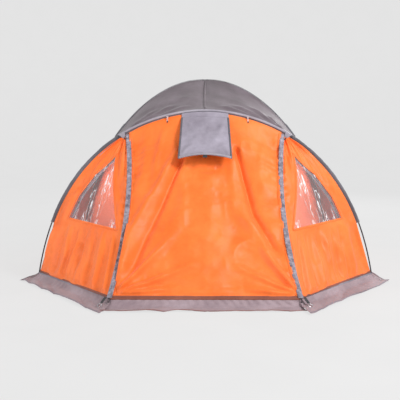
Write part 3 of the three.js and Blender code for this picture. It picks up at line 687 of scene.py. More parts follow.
def make_roof():
    """One canopy of four gores that meet on the ridges, and its seams."""

    def front(u, v):
        across = 2 * u - 1
        side = np.where(across < 0, -1, 1)
        low = arch_point(side * np.maximum(np.abs(across), 1e-6) * ARCH_AT_ROOF, 0.002, 0.006)
        high = leg_point(side, -1, np.abs(across) * LEG_AT_ROOF)
        return lerp(low, high, v[..., None])

    def front_relief(u, v):
        x = (2 * u - 1) * 0.78
        belly = -0.010 * np.sin(math.pi * v) * (1 - (2 * u - 1) ** 2)
        creases = 2.2 * folds(x, v, ROOF_FOLDS) + 0.0045 * crumple(x, v * 0.9, 0.42, 11, 2)
        return belly + rim(v, 0.12) * creases

    def gore(a, b, seed):
        def place(u, v):
            share = np.maximum(v, 1e-4) * LEG_AT_ROOF
            sag = 0.025 * 4 * u * (1 - u) * v
            return lerp(leg_point(*a, share), leg_point(*b, share), u[..., None]) - xyz(0, 0, sag)

        def relief(u, v):
            edge = rim(u, 0.1) * smooth(0, 0.1, v) * smooth(0, 0.06, 1 - v)
            rays = 0.004 * np.sin(TAU * (u * 5 + 0.6 * noise(u * 3, v * 3, seed))) * v ** 2
            return edge * (0.0045 * crumple(u * 1.2, v, 0.2, seed) + rays)
        return place, relief

    roof, centre_seam, seams = Solid(), Solid(), Solid()
    roof.grid(144, 60, front, front_relief)
    for seed, (a, b) in enumerate((((-1, 1), (-1, -1)), ((1, -1), (1, 1)), ((1, 1), (-1, 1))), 20):
        roof.grid(72, 72, *gore(a, b, seed))
    roof.size = (1.62, 2.75)
    roof.build("roof_canopy", ROOF, slot="roof_grey", held="stretched",
               replaces=("roof_front", "roof_left", "roof_right", "roof_rear"))
    centre = front(np.full(60, 0.5), np.linspace(0.03, 0.97, 60))
    centre_seam.ribbon(centre, outward(centre), -0.004, 0.004, 0.0012, 0.001, 0.0014, 4)
    centre_seam.build("roof_centre_seam", ROOF, slot="roof_grey")
    for side in (-1, 1):
        for end in (-1, 1):
            ridge = leg_point(side, end, np.linspace(0.0, LEG_AT_ROOF, 90))
            seams.ribbon(ridge, outward(ridge), -0.007, 0.007, 0.004, 0.0012, 0.0016, 4)
    for side in (-1, 1):
        cap = leg_point(side, -1, np.linspace(LEG_AT_ROOF - 0.06, LEG_AT_ROOF, 12))
        seams.ribbon(cap, outward(cap), -0.016, 0.016, 0.005, 0.002, 0.002, 4)
    seams.build("roof_seams", SLEEVE, slot="roof_grey")


def wall_stations(z):
    """The walls' corners at height z, from the left arch edge round the rear to the right."""
    out = []
    for side in (-1, 1):
        at_arch = xyz(side * arch_edge_x(z), ARCH_Y + 0.008, z)
        front = leg_point(side, -1, LEG.share_at_height(z))
        rear = leg_point(side, 1, LEG.share_at_height(z))
        t = (front[..., 1] - at_arch[..., 1]) / (rear[..., 1] - at_arch[..., 1])
        straight = lerp(at_arch, rear, t[..., None])
        front[..., 0] = side * np.maximum(np.abs(front[..., 0]), np.abs(straight[..., 0]))
        out.append([at_arch, front, rear])
    left, right = out
    return [*left, *right[::-1]]


WALL_MARKS = np.array([0, 0.09, 0.40, 0.60, 0.91, 1.0])  # the corners, by share of the width
WALL_DIPS = np.array([(0, 0, 0), (0.030, 0, 0), (0, -0.016, 0), (-0.030, 0, 0), (0, 0, 0)])


def make_walls():
    """One orange sheet from the arch's left edge round the rear to its right edge."""

    def place(u, v):
        z = lerp(HEM_Z, ROOF_Z + 0.004, v)
        stations = wall_stations(z)
        point = np.zeros((*u.shape, 3))
        for k in range(5):
            low, high = WALL_MARKS[k], WALL_MARKS[k + 1]
            t = (u - low) / (high - low)
            here = (u >= low) & ((u < high) | (k == 4))
            dip = (16 * t * (1 - t) * v * (1 - v))[..., None] * WALL_DIPS[k]
            panel = lerp(stations[k], stations[k + 1], t[..., None]) + dip
            point = np.where(here[..., None], panel, point)
        return point

    def relief(u, v):
        corner = np.min([np.abs(u - mark) for mark in WALL_MARKS], axis=0)
        rays = 0.004 * np.sin(TAU * (u * 34 + 1.2 * noise(u * 16, v * 2.4, 33)))
        low = smooth(0.55, 0.05, v) + 0.4 * smooth(0.6, 0.95, v)
        creases = 0.009 * crumple(u * 6.2, v * 1.3, 0.36, 31) + 1.3 * rays * low
        return smooth(0, 0.05, corner) * rim(v, 0.06) * creases

    Solid().grid(420, 96, place, relief).build(
        "fly_walls", ORANGE, slot="fly_orange", held="stretched",
        replaces=("side_panel_left", "side_panel_right", "rear_panel"))
    trim, seams = Solid(), Solid()
    edge = np.linspace(0, 1, 260)
    top = place(edge, np.ones(260))
    away = outward(top)
    trim.ribbon(top, away, -0.012, 0.010, 0.004, 0.002, 0.0016, 4)
    trim.stitches(top + away * 0.0064 - xyz(0, 0, 0.005), away, pitch=0.012)
    trim.build("roof_wall_seam", ROOF, slot="roof_grey")
    for mark in WALL_MARKS[1:5]:
        path = place(np.full(80, mark), np.linspace(0.01, 0.99, 80))
        seams.ribbon(path, outward(path), -0.008, 0.008, 0.002, 0.0014, 0.0016, 4)
    hem = place(edge, np.full(260, 0.006))
    seams.ribbon(hem, outward(hem), -0.009, 0.009, 0.0022, 0.0012, 0.0016, 4)
    seams.build("wall_seams", ORANGE, slot="fly_orange")


# ---- poles and sleeves
FERRULE_LENGTH, FERRULE_WALL = 0.07, 0.0011


def make_pole(name, path, radius):
    """A pole in four sections, each but the last ending in a steel ferrule."""
    mark, sides = steps(path), 14
    joints = [mark[-1] * k / 4 for k in (1, 2, 3)]
    stops = sorted({*np.linspace(0, mark[-1], 240).tolist(),
                    *[joint - FERRULE_LENGTH * e for joint in joints for e in (0, 0.008, 0.992, 1)]})
    radii = np.full(len(stops), radius)
    for joint in joints:
        back = (joint - np.array(stops)) / FERRULE_LENGTH
        radii[(back < 0.995) & (back > 0.004)] = radius + FERRULE_WALL
    pole = Solid().tube(sample(path, mark, stops), radii, sides, hint=(0, 1, 0))
    ring = np.arange(len(pole.faces) - 2) // sides
    steel = (radii[ring] > radius) & (radii[np.minimum(ring + 1, len(radii) - 1)] > radius)
    pole.slots = [int(part) for part in steel] + [0, 0]
    pole.build(f"{name}_tube", FIBRE, FERRULE, slot="pole_fibreglass",
               replaces=[f"{name}_{k}" for k in range(1, 5)])


def make_poles():
    foot = float(ARCH.share_at_height(0.004, POLE_INSET))
    share = np.linspace(-foot, foot, 400)
    make_pole("arch_pole", arch_point(share, POLE_INSET), 0.0055)
    low = float(LEG.share_at_height(0.005, DOME_POLE_INSET))
    t = np.linspace(0, 1, 200)
    for name, slant, lift in (("dome_pole_a", 1, 0), ("dome_pole_b", -1, -0.012)):
        halves = []
        for side, end in ((-1, -slant), (1, slant)):
            half = leg_point(side, end, t * low, DOME_POLE_INSET)
            half[:, 2] += lift * np.maximum(0, 1 - t * 4)
            halves.append(half)
        make_pole(name, np.vstack([halves[0][::-1], halves[1][1:]]), 0.00475)


def sleeve_place(low, high, depth, seed):
    """A strip of cloth folded round the arch pole, its two edges sewn together below."""
    tail = SLEEVE_ABOVE - depth
    ring = np.array([(tail, -0.0014), (-0.022, -0.0026), (-0.012, -0.0056), (-0.004, -0.0092),
                     (0.004, -0.0090), (0.009, -0.0050), (0.0105, 0), (0.009, 0.0050),
                     (0.004, 0.0090), (-0.004, 0.0092), (-0.012, 0.0056), (-0.022, 0.0026),
                     (tail, 0.0014)])
    marks = np.linspace(0, 1, len(ring))

    def place(u, v):
        share = lerp(low, high, u)
        share = np.where(np.abs(share) < 1e-9, 1e-9, share)
        n, b = (np.interp(v, marks, ring[:, k]) for k in (0, 1))
        length = share * ARCH.length
        belly = smooth(0.12, 0.5, v) * smooth(0.12, 0.5, 1 - v)
        pucker = 0.0016 * crumple(length, v * 0.05, 0.055, seed, 2) * belly
        sway = 0.0012 * noise(length / 0.09, v * 0, seed + 5) * smooth(0.4, 0.0, np.minimum(v, 1 - v))
        x, z = ARCH.at(np.abs(share), POLE_INSET)
        x2, z2 = ARCH.at(np.abs(share), POLE_INSET + 0.001)
        outx, outz = (x - x2) / 0.001, (z - z2) / 0.001
        scale = 1 + pucker / 0.009
        return xyz(np.sign(share) * (x + outx * n * scale), ARCH_Y + b * scale + sway,
                   z + outz * n * scale)
    return place


def make_sleeves():
    end = float(ARCH.share_at_height(SLEEVE_END_Z, POLE_INSET))
    gap_low, gap_high = (float(ARCH.share_at_height(z)) for z in (1.212, 1.236))
    stitching, piping_and_highlight = Solid(), Solid()
    for name, low, high, depth, columns, seed in (
            ("left", -end, -gap_low, SLEEVE_DEPTH, 200, 41), ("right", gap_low, end, SLEEVE_DEPTH, 200, 44),
            ("top", -gap_high, gap_high, TOP_SLEEVE_DEPTH, 300, 47)):
        Solid().grid(columns, 28, sleeve_place(low, high, depth, seed)).build(
            f"arch_sleeve_{name}_cloth", SLEEVE, slot="sleeve_grey", held="stretched",
            replaces=(f"arch_sleeve_{name}",))
        share = np.linspace(low, high, 160)
        for inset in (depth - 0.005, depth - 0.011):
            stitching.stitches(arch_point(share, inset, -0.0022), (0, -1, 0), pitch=0.011)
        # On the top sleeve, a wide light strip along its upper front is painted highlight standing in for the
        # light on the sleeve's rounded top.
        if name == "top":
            edge = arch_point(share, 0.006, -0.0106)
            piping_and_highlight.ribbon(edge, (0, -1, 0), -0.0085, 0.0085, 0.0, 0.002, 0.0016, 4)
        else:
            edge = arch_point(share, POLE_INSET + depth - SLEEVE_ABOVE, -0.0024)
            piping_and_highlight.ribbon(edge, (0, -1, 0), -0.003, 0.003, 0.0, 0.0008, 0.0014, 3)
        for tip in (low, high):
            around = sleeve_place(tip - 0.001, tip + 0.001, depth, 50)
            piping_and_highlight.tube(around(np.full(30, 0.5), np.linspace(0.1, 0.9, 30)), 0.0014, 6, hint=(1, 0, 0))
    stitching.build("sleeve_stitching", THREAD, slot="sleeve_grey")
    piping_and_highlight.build("sleeve_piping", PIPING_AND_HIGHLIGHT, slot="trim_grey")


def make_roof_tabs():
    """Pointed tabs that come down from the roof over the sleeve gaps, each with a clip."""
    tabs, clips = Solid(), Solid()
    share = float(ARCH.share_at_height(1.222))
    (x, z), (x2, z2) = ARCH.at(share), ARCH.at(share, 0.001)
    ahead = np.array([0, -1.0, 0])
    for _, side in SIDES:
        out = np.array([(x - x2) / 0.001 * side, 0, (z - z2) / 0.001])
        along = np.cross(ahead, out) * side
        centre = np.array([x * side, ARCH_Y, z])

        def place(u, v):
            width = lerp(0.036, 0.010, smooth(0.1, 1, v))
            turn = lerp(0.35, 2.55, v)
            reach = 0.0145 + 0.012 * smooth(0.55, 1, v)
            outside = np.cos(turn) * reach - 0.009 - np.maximum(0, v - 0.45) * 0.07
            in_front = np.sin(turn) * 0.0145 - 0.018 * smooth(0.35, 0.0, v)
            return (centre + along * ((u - 0.5) * 2 * width)[..., None]
                    + out * outside[..., None] + ahead * in_front[..., None])

        tabs.grid(20, 30, place, thickness=0.0018)
        hook = centre - out * 0.054 + ahead * 0.030
        clips.tube([hook + out * a + along * b for a, b in (
            (0.012, 0), (0, 0), (-0.010, 0.004), (-0.012, 0.012), (-0.004, 0.016))], 0.0048, 8)
        loop = centre - out * 0.016 - along * 0.038 + ahead * 0.020
        clips.tube([loop + out * a for a in (0.008, 0, -0.009)], [0.003, 0.0056, 0.003], 8)
    tabs.build("roof_tabs", PIPING_AND_HIGHLIGHT, slot="roof_grey")
    clips.build("roof_tab_hooks", BLACK, slot="plastic_black")


# ---- porch walls and windows
def porch_relief(a, z):
    """Fan pleats below the window, pulls beside it, and soft creases."""
    below = smooth(0.52, 0.34, z) * smooth(HEM_Z, HEM_Z + 0.05, z)
    wander = 0.5 * noise(a * 4, z * 1.5, 61)
    fan = (np.sin(TAU * (a * 6.5 + wander))
           + 0.35 * np.sin(TAU * (a * 15 + 2 * wander)))
    pulls = smooth(0.96, 1.12, z) * np.sin(TAU * (a * 9 + 1.4 * z)) * 0.004
    beside = smooth(0.12, 0.03, a) * smooth(0.45, 0.6, z) * np.sin(TAU * z / 0.055) * 0.0045
    edge = rim(a, 0.03) * smooth(0.055, 0.10, z) * smooth(1.19, 1.15, z)
    return edge * (0.013 * fan * below + pulls + beside + 0.015 * crumple(a * 0.8, z * 0.7, 0.20, 63))


def make_porch(name, side):
    heights = np.linspace(HEM_Z, PORCH_TOP_Z, 40)
    outline = [(0.0, z) for z in heights[::-1]] + [(1.0, z) for z in heights]

    def place(a, z):
        return porch_point(side, a, z)

    def relief(a, z):
        gap = edge_distance(np.stack([a * 0.75, z], 1), WINDOW * (0.75, 1))
        return porch_relief(a, z) * smooth(0.0, 0.05, gap)

    def film_relief(a, z):
        free = smooth(0, 0.03, edge_distance(np.stack([a, z], 1), WINDOW))
        return -0.0016 + 0.0035 * crumple(a * 0.8, z, 0.11, 71) * free

    panel = Solid().region(outline, [WINDOW], 0.0125, place, relief)
    panel.size = (1.16, 1.2)
    panel.build(f"porch_wall_{name}", ORANGE, slot="fly_orange", held="stretched",
                replaces=(f"porch_panel_{name}",))
    centre = WINDOW.mean(0)
    pane = Solid().region(centre + (WINDOW - centre) * 1.02, [], 0.011, place, film_relief, 0.0006)
    pane.size = (0.62, 0.62)
    pane.build(f"window_{name}_film", FILM, slot="window_pvc", held="stretched",
               replaces=(f"window_{name}",))
    a, z = closed(split_loop(WINDOW, 0.02)).T
    path, normal = place(a, z), surface_normal(place, a, z)
    Solid().ribbon(path, normal, -0.008, 0.008, 0.0016, 0.0008, 0.0014).build(
        f"window_{name}_binding", ORANGE, slot="fly_orange")
    Solid().stitches(path + normal * 0.0031, normal, pitch=0.012).build(
        f"window_{name}_stitching", THREAD_WARM, slot="fly_orange")
    make_curtain(name, side, place)
    a, z = np.linspace(0, 1, 90), np.full(90, HEM_Z + 0.004)
    Solid().ribbon(place(a, z), surface_normal(place, a, z), -0.008, 0.008, 0.0016, 0.0008,
                   0.0014).build(f"porch_hem_{name}", HEM_DARKENED_FOR_SHADE, slot="fly_orange")


def surface_normal(place, a, z):
    """Outward unit normals of a surface, by small steps."""
    step = 1e-4
    n = unit(np.cross(place(a + step, z) - place(a, z), place(a, z + step) - place(a, z)))
    return n * np.where(n[..., 1:2] > 0, -1, 1)


def make_curtain(name, side, place):
    """The window's cloth cover, rolled up along the slanted edge inside and tied twice."""
    tied, last, turns = (0.22, 0.78), 59, 2.6
    corners = place(WINDOW[2:, 0], WINDOW[2:, 1]) + np.array([-side * 0.024, 0.034, 0])
    mark = steps(corners)
    path = sample(corners, mark, np.linspace(0, mark[-1], last + 1))
    for _ in range(6):
        path[1:-1] = (path[:-2] + 2 * path[1:-1] + path[2:]) / 4
    direction = unit(np.gradient(path, axis=0))
    first = unit(np.cross(direction, (0, 1, 0)))
    second = np.cross(direction, first)

    def spiral(s, v):
        i = np.rint(s * last).astype(int)
        turn = v * turns * TAU
        radius = lerp(0.0055, 0.0118, v) + 0.0009 * noise(s * 14, v * 6, 81)
        waist = 1 - 0.28 * sum(np.exp(-((s - at) / 0.03) ** 2) for at in tied)
        ring = first[i] * np.cos(turn)[..., None] + second[i] * np.sin(turn)[..., None]
        return path[i] + ring * (radius * waist)[..., None]

    Solid().grid(last, 70, spiral, thickness=0.0008).build(
        f"curtain_{name}", TRIM, slot="trim_grey", held="folded", replaces=(f"curtain_roll_{name}",))
    ties = Solid()
    angle = np.linspace(0, TAU, 20)[:, None]
    for at in tied:
        i = int(at * last)
        ring = path[i] + 0.0108 * (first[i] * np.cos(angle) + second[i] * np.sin(angle))
        ties.tube(ring, 0.0014, 6, hint=direction[i])
        knob = path[i] + second[i] * 0.0135
        ties.tube([knob + direction[i] * reach for reach in (-0.011, -0.009, 0.009, 0.011)],
                  [0.002, 0.0036, 0.0036, 0.002], 10)
    ties.build(f"curtain_ties_{name}", BLACK, slot="plastic_black")


# ---- door
VENT_SHARE, VENT_LOW, VENT_HIGH = 2 / 7, 171 / 216, 11 / 12
DOOR_FOLDS = (
    ([(-0.19, 1.17), (-0.37, 0.86), (-0.55, 0.52), (-0.63, 0.04)], 0.018, 0.035, 0.055, 0, (0.05, 0.2)),
    ([(-0.17, 1.12), (-0.29, 0.84), (-0.41, 0.55), (-0.60, 0.08)], -0.020, 0.022, 0.045, 0.3, (0.05, 0.2)),
    ([(-0.63, 0.03), (-0.33, 0.33), (-0.10, 0.60)], 0.017, 0.015, 0.05, 0.4, (0.1, 0.6)),
    ([(-0.63, 0.02), (-0.12, 0.21), (0.10, 0.26)], 0.014, 0.012, 0.04, 0.3, (0.1, 0.6)),
    ([(-0.62, 0.02), (-0.05, 0.09)], 0.010, 0.012, 0.03, 0, (0.1, 0.6)),
    ([(-0.47, 1.36), (-0.50, 0.95), (-0.49, 0.58)], 0.007, 0.03, 0.05, 0.3),
    ([(-0.33, 1.38), (-0.38, 1.05), (-0.43, 0.80)], 0.007, 0.025, 0.04, -0.3),
    ([(-0.20, 1.0), (-0.16, 0.7), (-0.24, 0.42)], 0.006, 0.03, 0.06),
    ([(0.23, 1.19), (0.31, 0.88), (0.36, 0.63), (0.58, 0.22)], -0.016, 0.022, 0.04, 0.9, (0.05, 0.25)),
    ([(0.20, 1.12), (0.24, 0.75), (0.42, 0.34)], 0.010, 0.04, 0.06, 0, (0.1, 0.3)),
    ([(0.64, 0.04), (0.44, 0.32), (0.38, 0.55)], 0.017, 0.014, 0.045, -0.4, (0.1, 0.6)),
    ([(0.64, 0.03), (0.26, 0.20), (0.12, 0.32)], 0.014, 0.012, 0.04, -0.3, (0.1, 0.6)),
    ([(0.63, 0.02), (0.15, 0.08)], 0.009, 0.012, 0.03, 0, (0.1, 0.6)),
    ([(0.03, 1.0), (0.05, 0.62), (0.0, 0.3)], 0.006, 0.05, 0.07),
    ([(-0.42, 0.10), (0.0, 0.06), (0.42, 0.10)], -0.004, 0.025, 0.025),
    ([(-0.16, 0.99), (0.02, 0.95), (0.19, 1.0)], -0.006, 0.03, 0.03),
    ([(0.48, 1.36), (0.44, 1.0), (0.47, 0.72)], 0.006, 0.03, 0.05),
)


def door_relief(x, up):
    """Tension folds from the hood's and the hem's corners, puckers beside the zips."""
    edge = zip_x(up) - np.abs(x)
    pull = np.exp(-np.maximum(edge, 0) / 0.07)
    wave = np.sin(TAU * (up / 0.072 + 0.8 * noise(up * 6, x * 2, 91) + 1.1 * np.sign(x)))
    puckers = 0.0040 * pull * wave * lerp(0.45, 1.0, smooth(0.6, 1.1, up))
    free = smooth(0, 0.02, edge) * smooth(0, 0.04, up) * smooth(1.425, 1.33, up + 0.02 * np.abs(x))
    soft = 0.013 * crumple(x, up, 0.24, 93) + 0.016 * noise(x * 3.6, up * 2.4, 97)
    return free * (2.0 * folds(x, up, DOOR_FOLDS) + soft) + puckers * smooth(0, 0.006, edge)


def make_door():
    """The door's cloth, the net in its vent, its hem, seams and zip tapes."""

    def span(u, v):
        return (2 * u - 1) * (zip_x(ZIP_LENGTH * v) - 0.003)

    def place(u, v):
        return door_point(span(u, v), v)

    def relief(u, v):
        return door_relief(span(u, v), ZIP_LENGTH * v)

    def keep(u, v):
        return ~((np.abs(2 * u - 1) < VENT_SHARE) & (v > VENT_LOW) & (v < VENT_HIGH))

    def net_place(u, v):
        return place(0.5 + (u - 0.5) * (VENT_SHARE + 0.004), lerp(VENT_LOW - 0.003, VENT_HIGH + 0.003, v))

    def net_relief(u, v):
        return -0.0015 + 0.0015 * crumple(u * 0.4, v * 0.3, 0.12, 99)

    def on_cloth(u, v, out):
        return place(u, v) + OUT * (relief(u, v) + out)[..., None]

    Solid().grid(210, 216, place, relief, keep=keep).build(
        "door_cloth", ORANGE, slot="fly_orange", held="hung", replaces=("door_panel",), bend=True)
    Solid().grid(60, 48, net_place, net_relief, 0.0006).build(
        "vent_net", MESH, slot="vent_mesh_black", held="stretched", replaces=("vent_mesh",), bend=True)
    hem = on_cloth(np.linspace(0, 1, 200), np.full(200, 0.004), 0.0012)
    # The door's hem strip runs about 12 mm below the cloth's edge: a dark band of painted shade where the hem
    # shades the skirt.
    Solid().ribbon(hem, OUT, -0.008, 0.012, 0.0006, 0.0008, 0.0014, 4).build(
        "door_hem_and_painted_shade", HEM_DARKENED_FOR_SHADE, body="door", slot="fly_orange")
    seams, thread, tape = Solid(), Solid(), Solid()
    for end in (0.012, 0.988):
        line = on_cloth(np.full(160, end), np.linspace(0.01, 0.985, 160), 0.001)
        seams.ribbon(line, OUT, -0.011, 0.011, 0.0004, 0.0006)
        thread.stitches(line + OUT * 0.0016, OUT, pitch=0.012)
    half, low, high, cut = VENT_SHARE / 2, VENT_LOW, VENT_HIGH, 0.001
    corners = [(half - cut, low), (half, low + cut), (half, high - cut), (half - cut, high)]
    corners += [(-a, b) for a, b in corners[::-1]]
    u, v = closed(split_loop(np.array(corners) + (0.5, 0), 0.012)).T
    seams.ribbon(on_cloth(u, v, 0.0016), OUT, -0.008, 0.008, 0, 0.0006)
    seams.build("door_seams", ORANGE, slot="fly_orange", bend=True)
    thread.build("door_stitching", THREAD_WARM, slot="fly_orange", bend=True)
    up = np.linspace(0.006, ZIP_LENGTH - 0.02, 200)
    for side in (-1, 1):
        line = on_slope(side * (zip_x(up) - 0.0045), up, 0.0004)
        tape.ribbon(line, OUT, -0.0030, 0.0030, 0, 0, 0.0008, 2)
    tape.build("door_zip_tapes", COIL, slot="zip_grey", bend=True)


def make_flaps():
    """Puckered storm flaps over the zips, sewn to the door along their inner edge."""
    for name, side in SIDES:
        def place(u, v):
            up = lerp(-0.006, ZIP_LENGTH + 0.022, u)
            x = zip_x(up, 0.0035) + (v - 0.5) * 0.037
            return on_slope(side * x, up, np.full(np.shape(u), 0.009))

        def relief(u, v):
            up = u * ZIP_LENGTH
            beat = up / 0.031 + 1.3 * noise(up * 9, v * 0, 101 + side)
            uneven = 0.35 + 0.65 * np.abs(noise(up * 7, v * 1.2, 104 + side))
            ripple = np.sin(TAU * (beat + 0.5 * v)) * uneven
            kink = -0.006 * np.exp(-((up - 0.44) / 0.02) ** 2) if side < 0 else 0
            raised = (0.0052 * ripple * (0.4 + 0.6 * np.sin(math.pi * v)) + 0.0112 * v * (1 - v)
                      + 0.0026 * crumple(up, v * 0.037, 0.028, 107) + kink * v)
            return -side * np.maximum(raised, -0.0012)

        # The storm flaps' mottled colour is painted shade and highlight of their puckers.
        Solid().grid(420, 14, place, relief, flip=side < 0).build(
            f"storm_flap_{name}", FLAP_PUCKER_SHADE, slot="trim_grey", held="hung",
            replaces=(f"zip_flap_{name}",), bend=True)
        thread = Solid()
        for v in (0.1, 0.9):
            line = place(np.linspace(0.005, 0.995, 200), np.full(200, v)) + OUT * 0.0045
            thread.stitches(line, OUT, pitch=0.013)
        thread.build(f"flap_stitching_{name}", THREAD, slot="trim_grey", bend=True)


def make_zips():
    up = np.linspace(0.006, ZIP_LENGTH - 0.014, 240)
    for name, side in SIDES:
        tape = on_slope(side * (zip_x(up) + 0.0045), up)
        zipper = Solid().ribbon(tape, OUT, -0.004, 0.004, -0.0004, 0, 0.0009, 2)
        zipper.tube(on_slope(side * zip_x(up), up), 0.0016, 8, slot=1, flat=0.6, hint=OUT)
        zipper.build(f"zip_{name}_tape", SLEEVE, COIL, slot="zip_grey", replaces=(f"zip_{name}",))
        finish_node(f"zip_slider_{name}", STEEL)


# ---- hood and ties
HOOD_TOP, HOOD_BOTTOM, HOOD_LENGTH = 0.380, 0.413, 0.442
HOOD_CROWN = 0.018  # how far its middle stands out at the free edge
HOOD_SEWN_INSET = 0.017  # the top of the strip that holds the hood, on the sleeve
HOOD_PIVOT = np.array([0, ARCH_Y - 0.026, 1.345])


HOOD_FOLDS = (
    ([(-0.15, 0.05), (-0.02, 0.30)], 0.006, 0.02, 0.04), ([(0.16, 0.04), (0.05, 0.34)], 0.006, 0.02, 0.04),
    ([(-0.18, 0.28), (0.0, 0.36), (0.16, 0.28)], -0.004, 0.03, 0.03),
    ([(-0.18, 0.42), (-0.06, 0.22)], 0.006, 0.014, 0.04), ([(0.19, 0.41), (0.08, 0.2)], 0.006, 0.014, 0.04),
)


def make_hood():
    """The hood over the vent, the strip that holds it, and its trimmings."""
    drop = unit(np.array([0, DOOR_Y - ZIP_TOP_Y, HEM_Z - float(door_top(0.0))]))
    angle = math.atan2(-drop[1], -drop[2]) + math.radians(9.5)  # held open against the door
    down = np.array([0, -math.sin(angle), -math.cos(angle)])
    out = np.array([0, -math.cos(angle), math.sin(angle)])

    def place(u, v):
        width = lerp(HOOD_TOP, HOOD_BOTTOM, v)
        bow = 4 * u * (1 - u)
        along = HOOD_LENGTH * v - 0.026 * bow * v * v
        return (HOOD_PIVOT + xyz((u - 0.5) * width, 0, 0) + along[..., None] * down
                + (HOOD_CROWN * bow * v + 0.010 * bow * smooth(0.30, 0.02, v))[..., None] * out)

    def relief(u, v):
        x, y = (u - 0.5) * 0.4, v * HOOD_LENGTH
        edge = rim(u, 0.08) * smooth(0, 0.08, v)
        return -edge * (1.6 * folds(x, y, HOOD_FOLDS) + 0.005 * crumple(x, y, 0.14, 121))

    def root(u, v):
        x = (u - 0.5) * HOOD_TOP
        y = lerp(ARCH_Y - 0.0125, HOOD_PIVOT[1], v)
        z = lerp(ARCH.height_at(x, HOOD_SEWN_INSET), HOOD_PIVOT[2], v)
        return xyz(x, y, z) + (0.040 * u * (1 - u) * v)[..., None] * out

    Solid().grid(60, 8, root).build("hood_root", HOOD, slot="trim_grey")
    Solid().grid(72, 78, place, relief).build(
        "hood_cloth", HOOD, body="hood", slot="trim_grey", held="stretched", replaces=("vent_hood",))
    edges, hem, thread, tab = Solid(), Solid(), Solid(), Solid()
    v = np.linspace(0, 1, 60)
    for end in (0.008, 0.992):
        line = place(np.full(60, end), v)
        edges.ribbon(line, out, -0.007, 0.007, 0.0022, 0.0012, 0.0014, 4)

        def gusset(s, t):
            i = np.rint(s * 59).astype(int)
            return line[i] - out * (lerp(0.001, 0.004, v[i]) * t)[..., None]

        edges.grid(59, 4, gusset)
    foot = place(np.linspace(0.01, 0.99, 80), np.full(80, 0.972))
    hem.ribbon(foot, out, -0.011, 0.011, 0.0016, 0.0016, 0.0018, 5)
    for row in (-0.009, 0.008):
        thread.stitches(foot + down * row + out * 0.0034, out, pitch=0.011)
    line = place(np.linspace(0.458, 0.542, 14), np.full(14, 0.985)) + down * 0.016 - out * 0.006
    tab.ribbon(line, out, -0.012, 0.012, 0.0, 0.002, 0.0026, 5)
    for solid, name, material, slot in (
            (edges, "hood_binding", SLEEVE, "trim_grey"), (hem, "hood_hem", PIPING_AND_HIGHLIGHT, "trim_grey"),
            (thread, "hood_stitching", THREAD, "trim_grey"), (tab, "hood_closure", WEBBING, "webbing_black")):
        solid.build(name, material, body="hood", slot=slot)
    finish_node("vent_strut", WEBBING)


def make_ties():
    """An elastic loop with a barrel toggle on each side of the hood, under the top sleeve."""
    down = np.array([0, -14, -62]) / math.hypot(14, 62)
    axis = np.array([0.35, 0, 1.0]) / math.hypot(0.35, 1)
    t = np.linspace(0, 1, 14)
    for name, x, z in (("left", -0.306, 1.354), ("right", 0.348, 1.350)):
        top = np.array([x, ARCH_Y - 0.019, z])
        tie = Solid()
        for sign in (-1, 1):
            sway = xyz(sign * 0.0035 * np.sin(math.pi * t) + sign * 0.001, 0, 0)
            tie.tube(top + down * (t * 0.046)[:, None] + sway, 0.0021, 8)
        knot = top + down * 0.002
        tie.tube([knot + offset for offset in (
            (-0.009, 0, 0.003), (-0.004, -0.001, 0), (0.004, -0.001, 0), (0.009, 0, 0.003))],
            [0.003, 0.0042, 0.0042, 0.003], 8)
        marks = np.array([-0.0115, -0.0105, -0.006, -0.003, 0.003, 0.006, 0.0105, 0.0115])
        radii = [0.0026, 0.0044, 0.0047, 0.0038, 0.0038, 0.0047, 0.0044, 0.0026]
        tie.tube(top + down * 0.047 + marks[:, None] * axis, radii, 16, slot=1)
        tie.build(f"tie_{name}_loop", ELASTIC, BLACK, body=f"tie_{name}", slot="plastic_black",
                  replaces=(f"door_tie_{name}",))


# ---- ground skirt and corners
SKIRT_PROFILE = np.array([(0.01, 0.067), (0.10, 0.045), (0.25, 0.024), (0.40, 0.011), (0.55, 0.006),
                          (0.75, 0.0035), (1.0, 0.0024)])


def make_skirt(name, a, b, out_a, out_b, node, body="shell", profile=SKIRT_PROFILE, seed=130,
               columns=200, raised=(0, 0), trim=TRIM):
    """A strip of cloth from the hem down to the ground and outwards."""
    a, b, out_a, out_b = (np.array(p, float) for p in (a, b, out_a, out_b))
    length = float(np.linalg.norm(b - a))

    def place(u, v):
        share, z = (np.interp(v, np.linspace(0, 1, len(profile)), profile[:, k]) for k in (0, 1))
        along = u * length
        wavy = 1 + (0.07 * noise(along * 4, v * 0, seed) - 0.03) * smooth(0.5, 1, v)
        out = lerp(out_a, out_b, u[..., None]) * (share * wavy)[..., None]
        flat = lerp(a, b, u[..., None]) + out
        lying = smooth(0.25, 0.7, v)
        ripple = np.abs(noise(along * 5 + v * 1.5, v * 2.0, seed + 1)) * 0.016 * lying
        ripple = ripple + lerp(raised[0], raised[1], u) * smooth(0, 0.2, v)
        ripple = ripple + 0.003 * np.maximum(0, crumple(along, v * 0.12, 0.07, seed + 2, 2)) * lying
        gather = 0.0035 * np.sin(TAU * (along * 15 + noise(along * 5, v, seed + 3)))
        gather = gather * smooth(0, 0.2, v) * (1 - lying)
        push = out_a / np.linalg.norm(out_a)
        return xyz(flat[..., 0] + push[0] * gather, ARCH_Y + flat[..., 1] + push[1] * gather,
                   np.maximum(z + ripple, 0.0016))

    Solid().grid(columns, 26, place).build(name, SKIRT, body=body, slot="skirt_mauve", held="draped",
                                           replaces=(node,))
    u = np.linspace(0, 1, 120)
    normal = np.array([*unit(out_a), 0.25])
    binding = Solid().ribbon(place(u, np.full(120, 0.02)), normal, -0.006, 0.006, 0.0014, 0.0008, 0.0014)
    binding.ribbon(place(u, np.full(120, 0.955)), (0, 0, 1), -0.005, 0.005, 0.0014, 0.0006)
    binding.build(f"{name}_binding", trim, body=body, slot="skirt_mauve")


